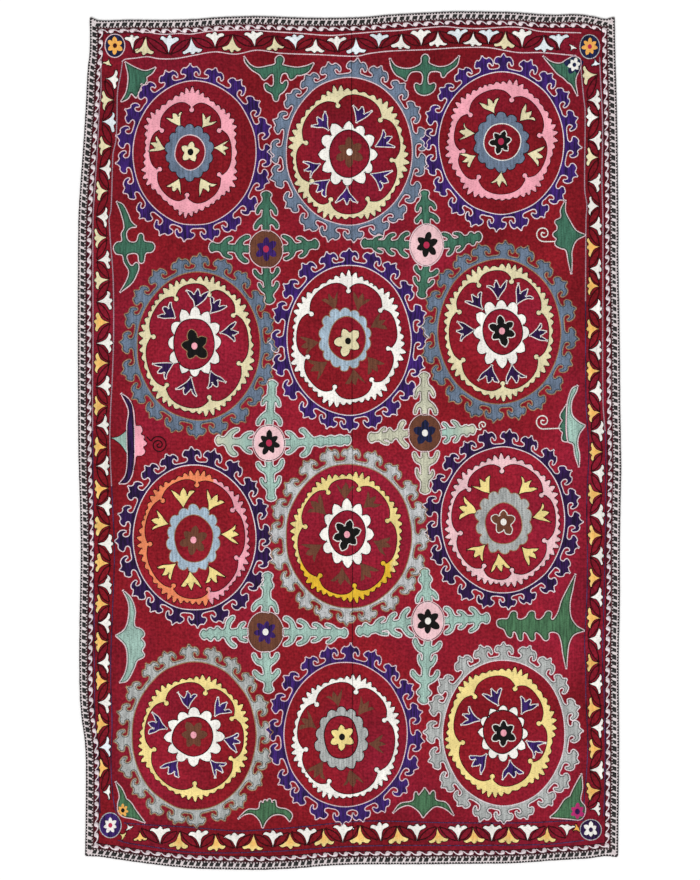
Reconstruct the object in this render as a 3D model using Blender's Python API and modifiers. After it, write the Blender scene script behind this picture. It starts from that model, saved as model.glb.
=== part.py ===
"""A large embroidered suzani lying flat on its back: two loom widths of red cotton joined at a centre
seam, and a narrow woven tape sewn over the cloth's edge along all four sides, mitred at the corners.

Metres, +Z up. The origin is under the middle of the textile, on the surface that it lies on. +X runs
across its width, and +Y along its length towards the edge that was on top when it hung."""

import math

import bmesh
import bpy

# The whole textile, over its edging tape
WIDTH = 1.500
LENGTH = 2.370

# The pieces that are sewn together. The tape reaches a little past the cloth that it covers.
CLOTH_THICK = 0.0015
TAPE_THICK = 0.0012
TAPE_WIDTH = 0.022
TAPE_OVERHANG = 0.0010
GAP = 0.0003

# The two loom widths aren't quite equal, and their seam leans a little
SEAM_TOP_X = 0.0055
SEAM_BOTTOM_X = 0.0095

# How closely the solids follow the outline and the ridges
CELL = 0.045
TAPE_CELL = 0.040

# How far each edge draws in from the full width or length, read along it.
# Left and right: distance down from the top, inset. Top and bottom: distance from the left, inset.
LEFT_EDGE = [
    (0.014, 0.033),
    (0.106, 0.033),
    (0.161, 0.027),
    (0.244, 0.023),
    (0.382, 0.014),
    (0.520, 0.004),
    (0.600, 0.001),
    (0.880, 0.000),
    (1.155, 0.001),
    (1.270, 0.003),
    (1.400, 0.007),
    (1.520, 0.008),
    (1.680, 0.005),
    (1.800, 0.004),
    (1.900, 0.006),
    (1.956, 0.011),
    (2.012, 0.019),
    (2.070, 0.022),
    (2.180, 0.022),
    (2.332, 0.020),
]
RIGHT_EDGE = [
    (0.014, 0.018),
    (0.130, 0.016),
    (0.270, 0.012),
    (0.385, 0.010),
    (0.570, 0.008),
    (0.690, 0.008),
    (0.800, 0.006),
    (0.935, 0.004),
    (1.070, 0.003),
    (1.200, 0.001),
    (1.270, 0.000),
    (1.350, 0.002),
    (1.490, 0.004),
    (1.625, 0.004),
    (1.790, 0.007),
    (2.040, 0.006),
    (2.240, 0.008),
    (2.335, 0.009),
]
TOP_EDGE = [
    (0.033, 0.014),
    (0.050, 0.023),
    (0.075, 0.025),
    (0.145, 0.023),
    (0.225, 0.024),
    (0.310, 0.022),
    (0.390, 0.016),
    (0.500, 0.013),
    (0.610, 0.017),
    (0.700, 0.018),
    (0.800, 0.015),
    (0.860, 0.009),
    (0.970, 0.003),
    (1.040, 0.000),
    (1.140, 0.001),
    (1.200, 0.002),
    (1.300, 0.009),
    (1.380, 0.008),
    (1.430, 0.015),
    (1.456, 0.021),
    (1.482, 0.014),
]
BOTTOM_EDGE = [
    (0.020, 0.038),
    (0.060, 0.036),
    (0.116, 0.028),
    (0.171, 0.020),
    (0.227, 0.013),
    (0.282, 0.007),
    (0.337, 0.003),
    (0.420, 0.001),
    (0.500, 0.000),
    (0.560, 0.002),
    (0.615, 0.005),
    (0.670, 0.010),
    (0.750, 0.014),
    (0.830, 0.015),
    (0.930, 0.015),
    (1.030, 0.016),
    (1.140, 0.017),
    (1.200, 0.018),
    (1.250, 0.021),
    (1.330, 0.027),
    (1.414, 0.032),
    (1.456, 0.038),
    (1.491, 0.035),
]

# Soft ridges where the cloth stands off the surface: centre x, centre y, the ridge's direction in
# degrees anticlockwise from +X, its length, its width and its height.
RIDGES = [
    (0.500, 0.820, -40, 0.340, 0.130, 0.0040),
    (0.310, 0.790, 12, 0.300, 0.120, 0.0030),
    (0.600, 0.880, -62, 0.300, 0.130, 0.0045),
    (0.560, 0.270, 4, 0.300, 0.120, 0.0030),
    (0.520, 0.000, 3, 0.380, 0.120, 0.0035),
    (0.420, -0.260, -4, 0.460, 0.120, 0.0030),
    (-0.520, 0.560, -75, 0.320, 0.130, 0.0035),
    (-0.540, -0.505, -62, 0.340, 0.140, 0.0045),
    (-0.600, -0.770, -80, 0.400, 0.140, 0.0050),
    (-0.560, -0.950, -50, 0.300, 0.130, 0.0040),
    (-0.300, 0.020, 8, 0.320, 0.130, 0.0030),
    (0.610, -0.640, 86, 0.380, 0.130, 0.0040),
    (0.070, -0.700, 88, 0.400, 0.120, 0.0030),
    (-0.100, 0.395, 80, 0.320, 0.120, 0.0030),
    (0.180, 1.020, 6, 0.340, 0.120, 0.0030),
]

# The firm tape holds the margin flat: the ridges die away over this distance inside it
FLAT_MARGIN = TAPE_WIDTH + 0.004
RIDGES_DIE_OVER = 0.060

RED_COTTON = (0.30, 0.012, 0.030, 1.0)
BLACK_AND_WHITE_WEAVE = (0.32, 0.30, 0.30, 1.0)
CLOTH_ROUGHNESS = 0.85
SHARP_ANGLE = math.radians(40)


def smooth_between(rows, at):
    """The second column of rows at a value of the first, on a smooth curve through the rows."""
    last = len(rows) - 1
    if at <= rows[0][0]:
        return rows[0][1]
    if at >= rows[last][0]:
        return rows[last][1]
    i = max(n for n in range(last) if rows[n][0] <= at)
    (x1, y1), (x2, y2) = rows[i], rows[i + 1]
    x0, y0 = rows[max(i - 1, 0)]
    x3, y3 = rows[min(i + 2, last)]
    step = x2 - x1
    slope_in = (y2 - y0) / (x2 - x0) * step
    slope_out = (y3 - y1) / (x3 - x1) * step
    t = (at - x1) / step
    blend = t * t * (3 - 2 * t)
    return y1 + (y2 - y1) * blend + slope_in * t * (1 - t) ** 2 - slope_out * (1 - t) * t**2


def inset(rows, share):
    """How far an edge draws in at a share of the way along it."""
    first, last = rows[0][0], rows[-1][0]
    return smooth_between(rows, first + share * (last - first))


def mix(start, end, share):
    return start + (end - start) * share


def cloth_x(across, down):
    return mix(inset(LEFT_EDGE, down) - WIDTH / 2, WIDTH / 2 - inset(RIGHT_EDGE, down), across)


def cloth_y(across, down):
    return mix(LENGTH / 2 - inset(TOP_EDGE, across), inset(BOTTOM_EDGE, across) - LENGTH / 2, down)


def hump(share):
    """A smooth bump, 1 at 0, that is 0 and level from 1 on."""
    return math.cos(math.pi / 2 * min(abs(share), 1)) ** 2


def lift(x, y, across, down):
    """How far the cloth's underside stands off the surface."""
    from_edge = min(across * WIDTH, (1 - across) * WIDTH, down * LENGTH, (1 - down) * LENGTH)
    if from_edge <= FLAT_MARGIN:
        return 0.0
    height = 0.0
    for centre_x, centre_y, degrees, length, width, high in RIDGES:
        turn = math.radians(degrees)
        dx, dy = x - centre_x, y - centre_y
        along = dx * math.cos(turn) + dy * math.sin(turn)
        aside = dy * math.cos(turn) - dx * math.sin(turn)
        height += high * hump(2 * along / length) * hump(2 * aside / width)
    return height * (1 - hump((from_edge - FLAT_MARGIN) / RIDGES_DIE_OVER))


def sheet_piece(name, columns, rows, lay, thick, colour):
    """A closed sheet: a grid whose points lay() puts in place, given shares from 0 to 1 of the way
    along +X and down the grid, and then its thickness, upwards."""
    shape = bmesh.new()
    bmesh.ops.create_grid(shape, x_segments=columns, y_segments=rows, size=0.5)
    for vert in shape.verts:
        vert.co = lay(vert.co.x + 0.5, 0.5 - vert.co.y)
    mesh = bpy.data.meshes.new(name)
    shape.to_mesh(mesh)
    shape.free()
    mesh.materials.append(colour)
    mesh.shade_smooth()
    mesh.set_sharp_from_angle(angle=SHARP_ANGLE)
    piece = bpy.data.objects.new(name, mesh)
    textile.objects.link(piece)
    wall = piece.modifiers.new("Thickness", "SOLIDIFY")
    wall.thickness = thick
    wall.offset = 1.0
    return piece


def past_tape(share, run, count):
    """Turns even shares of a run into ones whose first step is the tape's width."""
    step = round(share * count)
    if step == 0:
        return 0.0
    return mix(TAPE_WIDTH / run, 1.0, (step - 1) / (count - 1))


def ground_panel(name, on_left, colour):
    """One loom width of the ground, from under the tape to the centre seam."""
    columns = round(WIDTH / 2 / CELL)
    half_rows = round(LENGTH / 2 / CELL)

    def lay(rightward, downward):
        from_end = past_tape(2 * min(downward, 1 - downward), LENGTH / 2, half_rows) / 2
        from_end = max(from_end, TAPE_OVERHANG / LENGTH)
        down = from_end if downward < 0.5 else 1 - from_end
        left, right = cloth_x(0, down), cloth_x(1, down)
        seam = mix(SEAM_TOP_X, SEAM_BOTTOM_X, down)
        if on_left:
            x = mix(left + TAPE_OVERHANG, seam - GAP / 2, past_tape(rightward, WIDTH / 2, columns))
        else:
            x = mix(right - TAPE_OVERHANG, seam + GAP / 2, past_tape(1 - rightward, WIDTH / 2, columns))
        across = (x - left) / (right - left)
        y = cloth_y(across, down)
        return x, y, lift(x, y, across, down)

    sheet_piece(name, columns, 2 * half_rows, lay, CLOTH_THICK, colour)


def tape_strip(name, upright, at_far_side, colour):
    """One side of the edging tape, laid on the cloth's flat margin and mitred at both ends."""
    run, span = (LENGTH, WIDTH) if upright else (WIDTH, LENGTH)
    steps = round(run / TAPE_CELL)

    def lay(rightward, downward):
        along, aside = (downward, rightward) if upright else (rightward, downward)
        inward = TAPE_WIDTH * (1 - aside if at_far_side else aside)
        mitre = inward + GAP
        along = (mitre + along * (run - 2 * mitre)) / run
        aside = 1 - inward / span if at_far_side else inward / span
        across, down = (aside, along) if upright else (along, aside)
        return cloth_x(across, down), cloth_y(across, down), CLOTH_THICK + GAP

    columns, rows = (1, steps) if upright else (steps, 1)
    sheet_piece(name, columns, rows, lay, TAPE_THICK, colour)


def fabric(name, colour):
    made = bpy.data.materials.new(name)
    made.use_nodes = True
    shader = made.node_tree.nodes["Principled BSDF"]
    shader.inputs["Base Color"].default_value = colour
    shader.inputs["Roughness"].default_value = CLOTH_ROUGHNESS
    shader.inputs["Metallic"].default_value = 0.0
    return made


for old in list(bpy.data.objects):
    bpy.data.objects.remove(old)
textile = bpy.data.collections.new("suzani_textile")
bpy.context.scene.collection.children.link(textile)

red_cotton = fabric("red_cotton", RED_COTTON)
patterned_tape = fabric("patterned_tape", BLACK_AND_WHITE_WEAVE)
ground_panel("ground_left", True, red_cotton)
ground_panel("ground_right", False, red_cotton)
tape_strip("tape_top", False, False, patterned_tape)
tape_strip("tape_bottom", False, True, patterned_tape)
tape_strip("tape_left", True, False, patterned_tape)
tape_strip("tape_right", True, True, patterned_tape)
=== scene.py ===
# %% [markdown]
# # A suzani, spread flat
# A suzani is a large cotton cloth covered in silk embroidery. This one is two loom widths of red
# cotton, joined at a centre seam, with twelve rosettes, small crosses between them, a border of
# tulips and a narrow woven tape sewn round the edge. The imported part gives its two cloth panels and
# four tapes as plain solids. This script dresses them: finer cloth, raised silk, chain stitch and a
# woven tape, and a pale studio seen from straight above.

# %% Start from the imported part
import math
import random

import bpy
import numpy as np
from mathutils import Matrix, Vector
from mathutils.geometry import delaunay_2d_cdt


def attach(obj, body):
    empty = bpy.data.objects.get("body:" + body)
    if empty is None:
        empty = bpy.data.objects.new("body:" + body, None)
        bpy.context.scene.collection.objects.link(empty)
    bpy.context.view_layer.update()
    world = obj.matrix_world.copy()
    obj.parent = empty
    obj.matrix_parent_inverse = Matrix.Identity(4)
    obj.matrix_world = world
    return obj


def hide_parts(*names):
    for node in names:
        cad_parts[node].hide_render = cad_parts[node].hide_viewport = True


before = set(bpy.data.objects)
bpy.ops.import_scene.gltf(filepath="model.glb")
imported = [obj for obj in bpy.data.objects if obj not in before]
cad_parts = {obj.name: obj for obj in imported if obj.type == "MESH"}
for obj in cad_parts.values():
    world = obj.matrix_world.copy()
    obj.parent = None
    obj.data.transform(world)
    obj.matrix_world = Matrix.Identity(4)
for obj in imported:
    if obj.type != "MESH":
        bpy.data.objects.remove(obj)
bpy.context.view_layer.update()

# %% [markdown]
# ## How the cloth lies
# Hand-woven cloth that has been washed and hung is never a true rectangle, so each edge draws in by
# some millimetres along its way, and parts of the cloth stand off the floor in low, soft ridges. The
# same measures shaped the part, so everything here follows it. Sharp folds from storage are added
# as shallow creases, which are too fine for the part.

# %% Outline and ridges, in metres
WIDTH, LENGTH = 1.500, 2.370
CLOTH_THICK, TAPE_THICK = 0.0015, 0.0012
TAPE_WIDTH, TAPE_OVERHANG, GAP = 0.022, 0.0010, 0.0003
SEAM_TOP_X, SEAM_BOTTOM_X = 0.0055, 0.0095

LEFT_EDGE = [
    (0.014, 0.033), (0.106, 0.033), (0.161, 0.027), (0.244, 0.023), (0.382, 0.014),
    (0.520, 0.004), (0.600, 0.001), (0.880, 0.000), (1.155, 0.001), (1.270, 0.003),
    (1.400, 0.007), (1.520, 0.008), (1.680, 0.005), (1.800, 0.004), (1.900, 0.006),
    (1.956, 0.011), (2.012, 0.019), (2.070, 0.022), (2.180, 0.022), (2.332, 0.020),
]
RIGHT_EDGE = [
    (0.014, 0.018), (0.130, 0.016), (0.270, 0.012), (0.385, 0.010), (0.570, 0.008),
    (0.690, 0.008), (0.800, 0.006), (0.935, 0.004), (1.070, 0.003), (1.200, 0.001),
    (1.270, 0.000), (1.350, 0.002), (1.490, 0.004), (1.625, 0.004), (1.790, 0.007),
    (2.040, 0.006), (2.240, 0.008), (2.335, 0.009),
]
TOP_EDGE = [
    (0.033, 0.014), (0.050, 0.023), (0.075, 0.025), (0.145, 0.023), (0.225, 0.024),
    (0.310, 0.022), (0.390, 0.016), (0.500, 0.013), (0.610, 0.017), (0.700, 0.018),
    (0.800, 0.015), (0.860, 0.009), (0.970, 0.003), (1.040, 0.000), (1.140, 0.001),
    (1.200, 0.002), (1.300, 0.009), (1.380, 0.008), (1.430, 0.015), (1.456, 0.021),
    (1.482, 0.014),
]
BOTTOM_EDGE = [
    (0.020, 0.038), (0.060, 0.036), (0.116, 0.028), (0.171, 0.020), (0.227, 0.013),
    (0.282, 0.007), (0.337, 0.003), (0.420, 0.001), (0.500, 0.000), (0.560, 0.002),
    (0.615, 0.005), (0.670, 0.010), (0.750, 0.014), (0.830, 0.015), (0.930, 0.015),
    (1.030, 0.016), (1.140, 0.017), (1.200, 0.018), (1.250, 0.021), (1.330, 0.027),
    (1.414, 0.032), (1.456, 0.038), (1.491, 0.035),
]
# Centre x, centre y, degrees anticlockwise from +X, length, width, height
RIDGES = [
    (0.500, 0.820, -40, 0.340, 0.130, 0.0040), (0.310, 0.790, 12, 0.300, 0.120, 0.0030),
    (0.600, 0.880, -62, 0.300, 0.130, 0.0045), (0.560, 0.270, 4, 0.300, 0.120, 0.0030),
    (0.520, 0.000, 3, 0.380, 0.120, 0.0035), (0.420, -0.260, -4, 0.460, 0.120, 0.0030),
    (-0.520, 0.560, -75, 0.320, 0.130, 0.0035), (-0.540, -0.505, -62, 0.340, 0.140, 0.0045),
    (-0.600, -0.770, -80, 0.400, 0.140, 0.0050), (-0.560, -0.950, -50, 0.300, 0.130, 0.0040),
    (-0.300, 0.020, 8, 0.320, 0.130, 0.0030), (0.610, -0.640, 86, 0.380, 0.130, 0.0040),
    (0.070, -0.700, 88, 0.400, 0.120, 0.0030), (-0.100, 0.395, 80, 0.320, 0.120, 0.0030),
    (0.180, 1.020, 6, 0.340, 0.120, 0.0030),
]
FLAT_MARGIN = TAPE_WIDTH + 0.004
RIDGES_DIE_OVER = 0.060


def smooth_between(rows, at):
    """The second column of rows at a value of the first, on a smooth curve through the rows."""
    last = len(rows) - 1
    if at <= rows[0][0]:
        return rows[0][1]
    if at >= rows[last][0]:
        return rows[last][1]
    i = max(n for n in range(last) if rows[n][0] <= at)
    (x1, y1), (x2, y2) = rows[i], rows[i + 1]
    x0, y0 = rows[max(i - 1, 0)]
    x3, y3 = rows[min(i + 2, last)]
    step = x2 - x1
    slope_in = (y2 - y0) / (x2 - x0) * step
    slope_out = (y3 - y1) / (x3 - x1) * step
    t = (at - x1) / step
    blend = t * t * (3 - 2 * t)
    return y1 + (y2 - y1) * blend + slope_in * t * (1 - t) ** 2 - slope_out * (1 - t) * t**2


SHARES = np.linspace(0, 1, 801)


def insets(rows):
    """An edge's draw-in at each of SHARES."""
    first, last = rows[0][0], rows[-1][0]
    return np.array([smooth_between(rows, first + s * (last - first)) for s in SHARES])


LEFT_X, RIGHT_X = insets(LEFT_EDGE) - WIDTH / 2, WIDTH / 2 - insets(RIGHT_EDGE)
TOP_Y, BOTTOM_Y = LENGTH / 2 - insets(TOP_EDGE), insets(BOTTOM_EDGE) - LENGTH / 2


def place(across, down):
    """Where shares of the way across and down the textile are, in metres."""
    left, right = np.interp(down, SHARES, LEFT_X), np.interp(down, SHARES, RIGHT_X)
    top, bottom = np.interp(across, SHARES, TOP_Y), np.interp(across, SHARES, BOTTOM_Y)
    return left + (right - left) * across, top + (bottom - top) * down


def shares(x, y):
    """The way back: the shares across and down that a point lies at."""
    across, down = x / WIDTH + 0.5, 0.5 - y / LENGTH
    for _ in range(3):
        left, right = np.interp(down, SHARES, LEFT_X), np.interp(down, SHARES, RIGHT_X)
        across = (x - left) / (right - left)
        top, bottom = np.interp(across, SHARES, TOP_Y), np.interp(across, SHARES, BOTTOM_Y)
        down = (top - y) / (top - bottom)
    return across, down


def hump(share):
    """A smooth bump, 1 at 0, that is 0 and level from 1 on."""
    return np.cos(np.pi / 2 * np.minimum(np.abs(share), 1)) ** 2


def along_aside(x, y, centre_x, centre_y, degrees):
    """How far spots are along and aside of a line through a centre, at degrees from +X."""
    turn = math.radians(degrees)
    dx, dy = x - centre_x, y - centre_y
    return dx * math.cos(turn) + dy * math.sin(turn), dy * math.cos(turn) - dx * math.sin(turn)


def lift(x, y):
    """How far the cloth's underside stands off the floor."""
    across, down = shares(x, y)
    from_edge = np.minimum(
        np.minimum(across, 1 - across) * WIDTH, np.minimum(down, 1 - down) * LENGTH
    )
    height = np.zeros_like(x)
    for centre_x, centre_y, degrees, length, width, high in RIDGES:
        along, aside = along_aside(x, y, centre_x, centre_y, degrees)
        height += high * hump(2 * along / length) * hump(2 * aside / width)
    return height * (1 - hump(np.maximum(from_edge - FLAT_MARGIN, 0) / RIDGES_DIE_OVER))


print("ridges", len(RIDGES), "highest lift", round(float(lift(np.array([-0.6]), np.array([-0.77]))[0]), 4))

# %% [markdown]
# ## A ruler for the embroidery
# The motifs are placed the way a pattern drawer marks them on the cloth: by where they stand in the
# picture of the whole. One picture unit is 2.7624 mm on the cloth, and the textile's middle stands
# at 349.5 across and 440.65 down, so every place below turns into metres by one rule.

# %% Picture units to metres
UNIT = 0.0027624
MIDDLE_X, MIDDLE_Y = 349.5, 440.65


def to_cloth(points):
    """Picture units to metres on the cloth."""
    spots = np.asarray([p[:2] for p in points], float)
    return np.column_stack([(spots[:, 0] - MIDDLE_X) * UNIT, (MIDDLE_Y - spots[:, 1]) * UNIT])


# Old fold lines: centre across, centre down, degrees, length, width, all in picture units, depth mm
CREASES = [
    (522, 133, -24, 62, 9, 0.9), (480, 153, 8, 70, 8, 0.7), (582, 340, 2, 60, 9, 0.6),
    (570, 442, 1, 70, 9, 0.6), (505, 533, -1, 120, 9, 0.6), (520, 161, 2, 90, 8, 0.6),
    (150, 632, -52, 56, 9, 0.8), (108, 772, -64, 90, 10, 0.9), (122, 760, -50, 70, 9, 0.7),
    (580, 205, -80, 40, 8, 0.6), (575, 300, 3, 50, 8, 0.5), (190, 160, 3, 90, 9, 0.5),
    (255, 300, 70, 60, 9, 0.5), (300, 742, 12, 60, 9, 0.5), (150, 90, -8, 70, 9, 0.4),
]
SEAM_HALF_WIDTH, SEAM_DEPTH = 0.0055, 0.0008
DEEPEST_FOLD = 0.0011  # no fold cuts deeper into the cloth than this


def seam_x(y):
    """How far across the seam is, at a place along the cloth, in metres."""
    down = 0.5 - y / LENGTH
    return SEAM_TOP_X + (SEAM_BOTTOM_X - SEAM_TOP_X) * down


def cloth_top(x, y):
    """The height of the cloth's face: its lift and thickness, the creases and the seam's furrow."""
    fold = np.zeros_like(x)
    for px, py, degrees, length, width, depth in CREASES:
        centre = to_cloth([(px, py)])[0]
        along, aside = along_aside(x, y, centre[0], centre[1], degrees)
        length, width = length * UNIT, width * UNIT
        shape = hump(2 * along / length) * hump(aside / width)
        fold += depth * 0.001 * shape * np.sin(np.pi * np.clip(aside / width, -1, 1))
    fold -= SEAM_DEPTH * hump((x - seam_x(y)) / SEAM_HALF_WIDTH)
    return CLOTH_THICK + lift(x, y) + np.maximum(fold, -DEEPEST_FOLD)


print("creases", len(CREASES))

# %% [markdown]
# ## Dyes
# The silk was dyed in small lots, so each colour is a family of near shades, and one motif is often
# finished in the next lot. Every thread here is a name with a hex colour and, where it changes on
# the way, a second one. The last word is the name of a slot for that colour.

# %% Thread colours
DYES = {
    "snow": ("#f4f1ea", "silk_white"),
    "ice": ("#e6eef3", "silk_white"),
    "cream": ("#e9deb3", "silk_cream"),
    "straw": ("#f2dc8e", "silk_cream"),
    "pale": ("#cdcdb4", "silk_cream"),
    "saffron": ("#ecbd25", "silk_yellow"),
    "apricot": ("#f68c5c", "silk_orange"),
    "amber": ("#f3b052", "silk_orange"),
    "rose": ("#f3a5b4", "silk_pink"),
    "shell": ("#f2c6cb", "silk_pink"),
    "magenta": ("#b5156a", "silk_pink"),
    "cherry": ("#b51c48", "silk_pink"),
    "violet": ("#391c66", "silk_purple"),
    "aubergine": ("#2c1146", "silk_purple"),
    "navy": ("#1b2148", "silk_purple"),
    "slate": ("#687990", "silk_slate"),
    "mist": ("#c2c3c4", "silk_grey"),
    "sky": ("#a7bccd", "silk_grey"),
    "ash": ("#adb0ae", "silk_grey"),
    "leaf": ("#40705b", "silk_green"),
    "moss": ("#487251", "silk_green"),
    "mint": ("#9fc0b4", "silk_mint"),
    "walnut": ("#6e412f", "silk_brown"),
    "tan": ("#a9825c", "silk_brown"),
    "blush": ("#ecd0d6", "silk_pink"),
    "ink": ("#0e0c0b", "silk_black"),
    "soot": ("#25070e", "silk_black"),
    "wine": ("#5a0f22", "silk_brown"),
    "maroon": ("#42080f", "silk_black"),
    "pearl": ("#f1e2e6", "silk_white"),
    "dusk": ("#b08e9c", "silk_purple"),
    "plum": ("#54365f", "silk_purple"),
}
# Threads that change colour on the way: first dye, second dye
BLENDS = {
    "apricot_to_rose": ("apricot", "rose"),
    "straw_to_saffron": ("straw", "saffron"),
    "straw_to_amber": ("straw", "amber"),
    "pale_to_mint": ("pale", "mint"),
}


def linear(hex_colour):
    """An sRGB hex colour as the linear values that a shader takes."""
    values = [int(hex_colour[i : i + 2], 16) / 255 for i in (1, 3, 5)]
    return tuple(v / 12.92 if v <= 0.04045 else ((v + 0.055) / 1.055) ** 2.4 for v in values) + (1.0,)


print("dyes", len(DYES), "blends", len(BLENDS))

# %% [markdown]
# ## Drawing the motifs
# A pattern drawer inks each motif as a few strokes, and the embroiderer fills it with laid silk and
# works a line of chain stitch round it. So a motif here is a loop through a few points. A third
# value marks a point that stays sharp, such as a leaf's tip. The loops go into two baskets: fills,
# which become raised plates of silk, and lines, which become rows of chain stitch.

# %% Loops, fills and lines
hand = random.Random(7)
fills, lines = [], []
POINT_EVERY = 1.5  # picture units from point to point of a smooth line
HAIR = 0.00003  # metres


def flowing(points, closed=True):
    """A smooth line through points, in picture units; a point with a third value stays sharp."""
    count, line = len(points), []

    def heading(i):
        before, after = points[(i - 1) % count], points[(i + 1) % count]
        if not closed and i == 0:
            before = points[0]
        if not closed and i == count - 1:
            after = points[i]
        dx, dy = after[0] - before[0], after[1] - before[1]
        size = math.hypot(dx, dy) or 1.0
        return dx / size, dy / size

    for i in range(count if closed else count - 1):
        p, q = points[i], points[(i + 1) % count]
        reach = math.hypot(q[0] - p[0], q[1] - p[1])
        if reach < 1e-6:
            continue
        chord = ((q[0] - p[0]) / reach, (q[1] - p[1]) / reach)
        out = chord if len(p) > 2 else heading(i)
        into = chord if len(q) > 2 else heading((i + 1) % count)
        steps = max(1, round(reach / POINT_EVERY))
        for step in range(steps):
            t = step / steps
            a, b = 2 * t**3 - 3 * t**2 + 1, t**3 - 2 * t**2 + t
            c, d = 3 * t**2 - 2 * t**3, t**3 - t**2
            line.append(tuple(
                a * p[k] + b * reach * out[k] + c * q[k] + d * reach * into[k] for k in (0, 1)
            ))
    if not closed:
        line.append(tuple(points[-1][:2]))
    return line


def fill(dye, loop, holes=(), rise=0.0, fade=None):
    """Puts a patch of laid silk in its basket. fade gives the second dye's share at a point. Each
    patch stands a hair higher or lower than the next, so two that touch are never level."""
    fills.append({"dye": dye, "loops": [loop, *holes], "rise": rise + HAIR * (len(fills) % 5),
                  "fade": fade, "tone": hand.uniform(-1, 1)})


def line(dye, path, closed=True, kind="fine", rise=0.0):
    """Puts a row of chain stitch in its basket."""
    lines.append({"dye": dye, "path": path, "closed": closed, "kind": kind, "rise": rise})


def turned(points, centre, degrees, scale=(1.0, 1.0)):
    """Points scaled, turned clockwise from up by degrees, and moved to centre."""
    c, s = math.cos(math.radians(degrees)), math.sin(math.radians(degrees))
    made = []
    for p in points:
        x, up = p[0] * scale[0], p[1] * scale[1]
        made.append((centre[0] + x * c + up * s, centre[1] + x * s - up * c, *p[2:]))
    return made


def unsteady(points, amount):
    """Points as a hand puts them: each off by up to amount."""
    return [(p[0] + hand.uniform(-amount, amount), p[1] + hand.uniform(-amount, amount), *p[2:])
            for p in points]


def inset(loop, by):
    """A closed loop moved inwards by picture units, or outwards if by is below zero."""
    area = sum(p[0] * q[1] - q[0] * p[1] for p, q in zip(loop, loop[1:] + loop[:1]))
    by = by if area > 0 else -by
    made = []
    for before, here, after in zip(loop[-1:] + loop[:-1], loop, loop[1:] + loop[:1]):
        dx, dy = after[0] - before[0], after[1] - before[1]
        size = math.hypot(dx, dy) or 1.0
        made.append((here[0] - dy / size * by, here[1] + dx / size * by))
    return made


def bordered(dye, loop, shade="soot"):
    """A light outline, with a thin dark row between it and the silk. The dark row is partly dark thread and
    partly painted shade where the raised stitch meets the silk.
    """
    line(dye, inset(loop, -0.4), kind="line")
    line(shade, inset(loop, 0.8), kind="thin")


def ring(box, degrees, reach, beyond=0.0):
    """A point on the oval that fits a box, at degrees clockwise from the top: reach times its
    half-axes, and beyond picture units further out."""
    left, top, right, bottom = box
    angle = math.radians(degrees)
    half_x, half_y = (right - left) / 2 * reach + beyond, (bottom - top) / 2 * reach + beyond
    middle = ((left + right) / 2, (top + bottom) / 2)
    return middle[0] + half_x * math.sin(angle), middle[1] - half_y * math.cos(angle)


print("a loop through four points has", len(flowing([(0, 0), (4, 4), (0, 8), (-4, 4)])), "points")

# %% [markdown]
# ## The rosettes
# Each rosette is a wreath of horned heads round an oval, a toothed leaf ring whose cusps hang inwards
# with a small knob at each tip, tulips that stand on a scalloped ring, and a flower in the middle.
# Every part is the same drawing in every rosette, with other colours and a hand's unevenness, so
# each is one function. The table gives what differs: sizes, colours and where the cusps and tulips
# stand, in degrees clockwise from the top.

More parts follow.
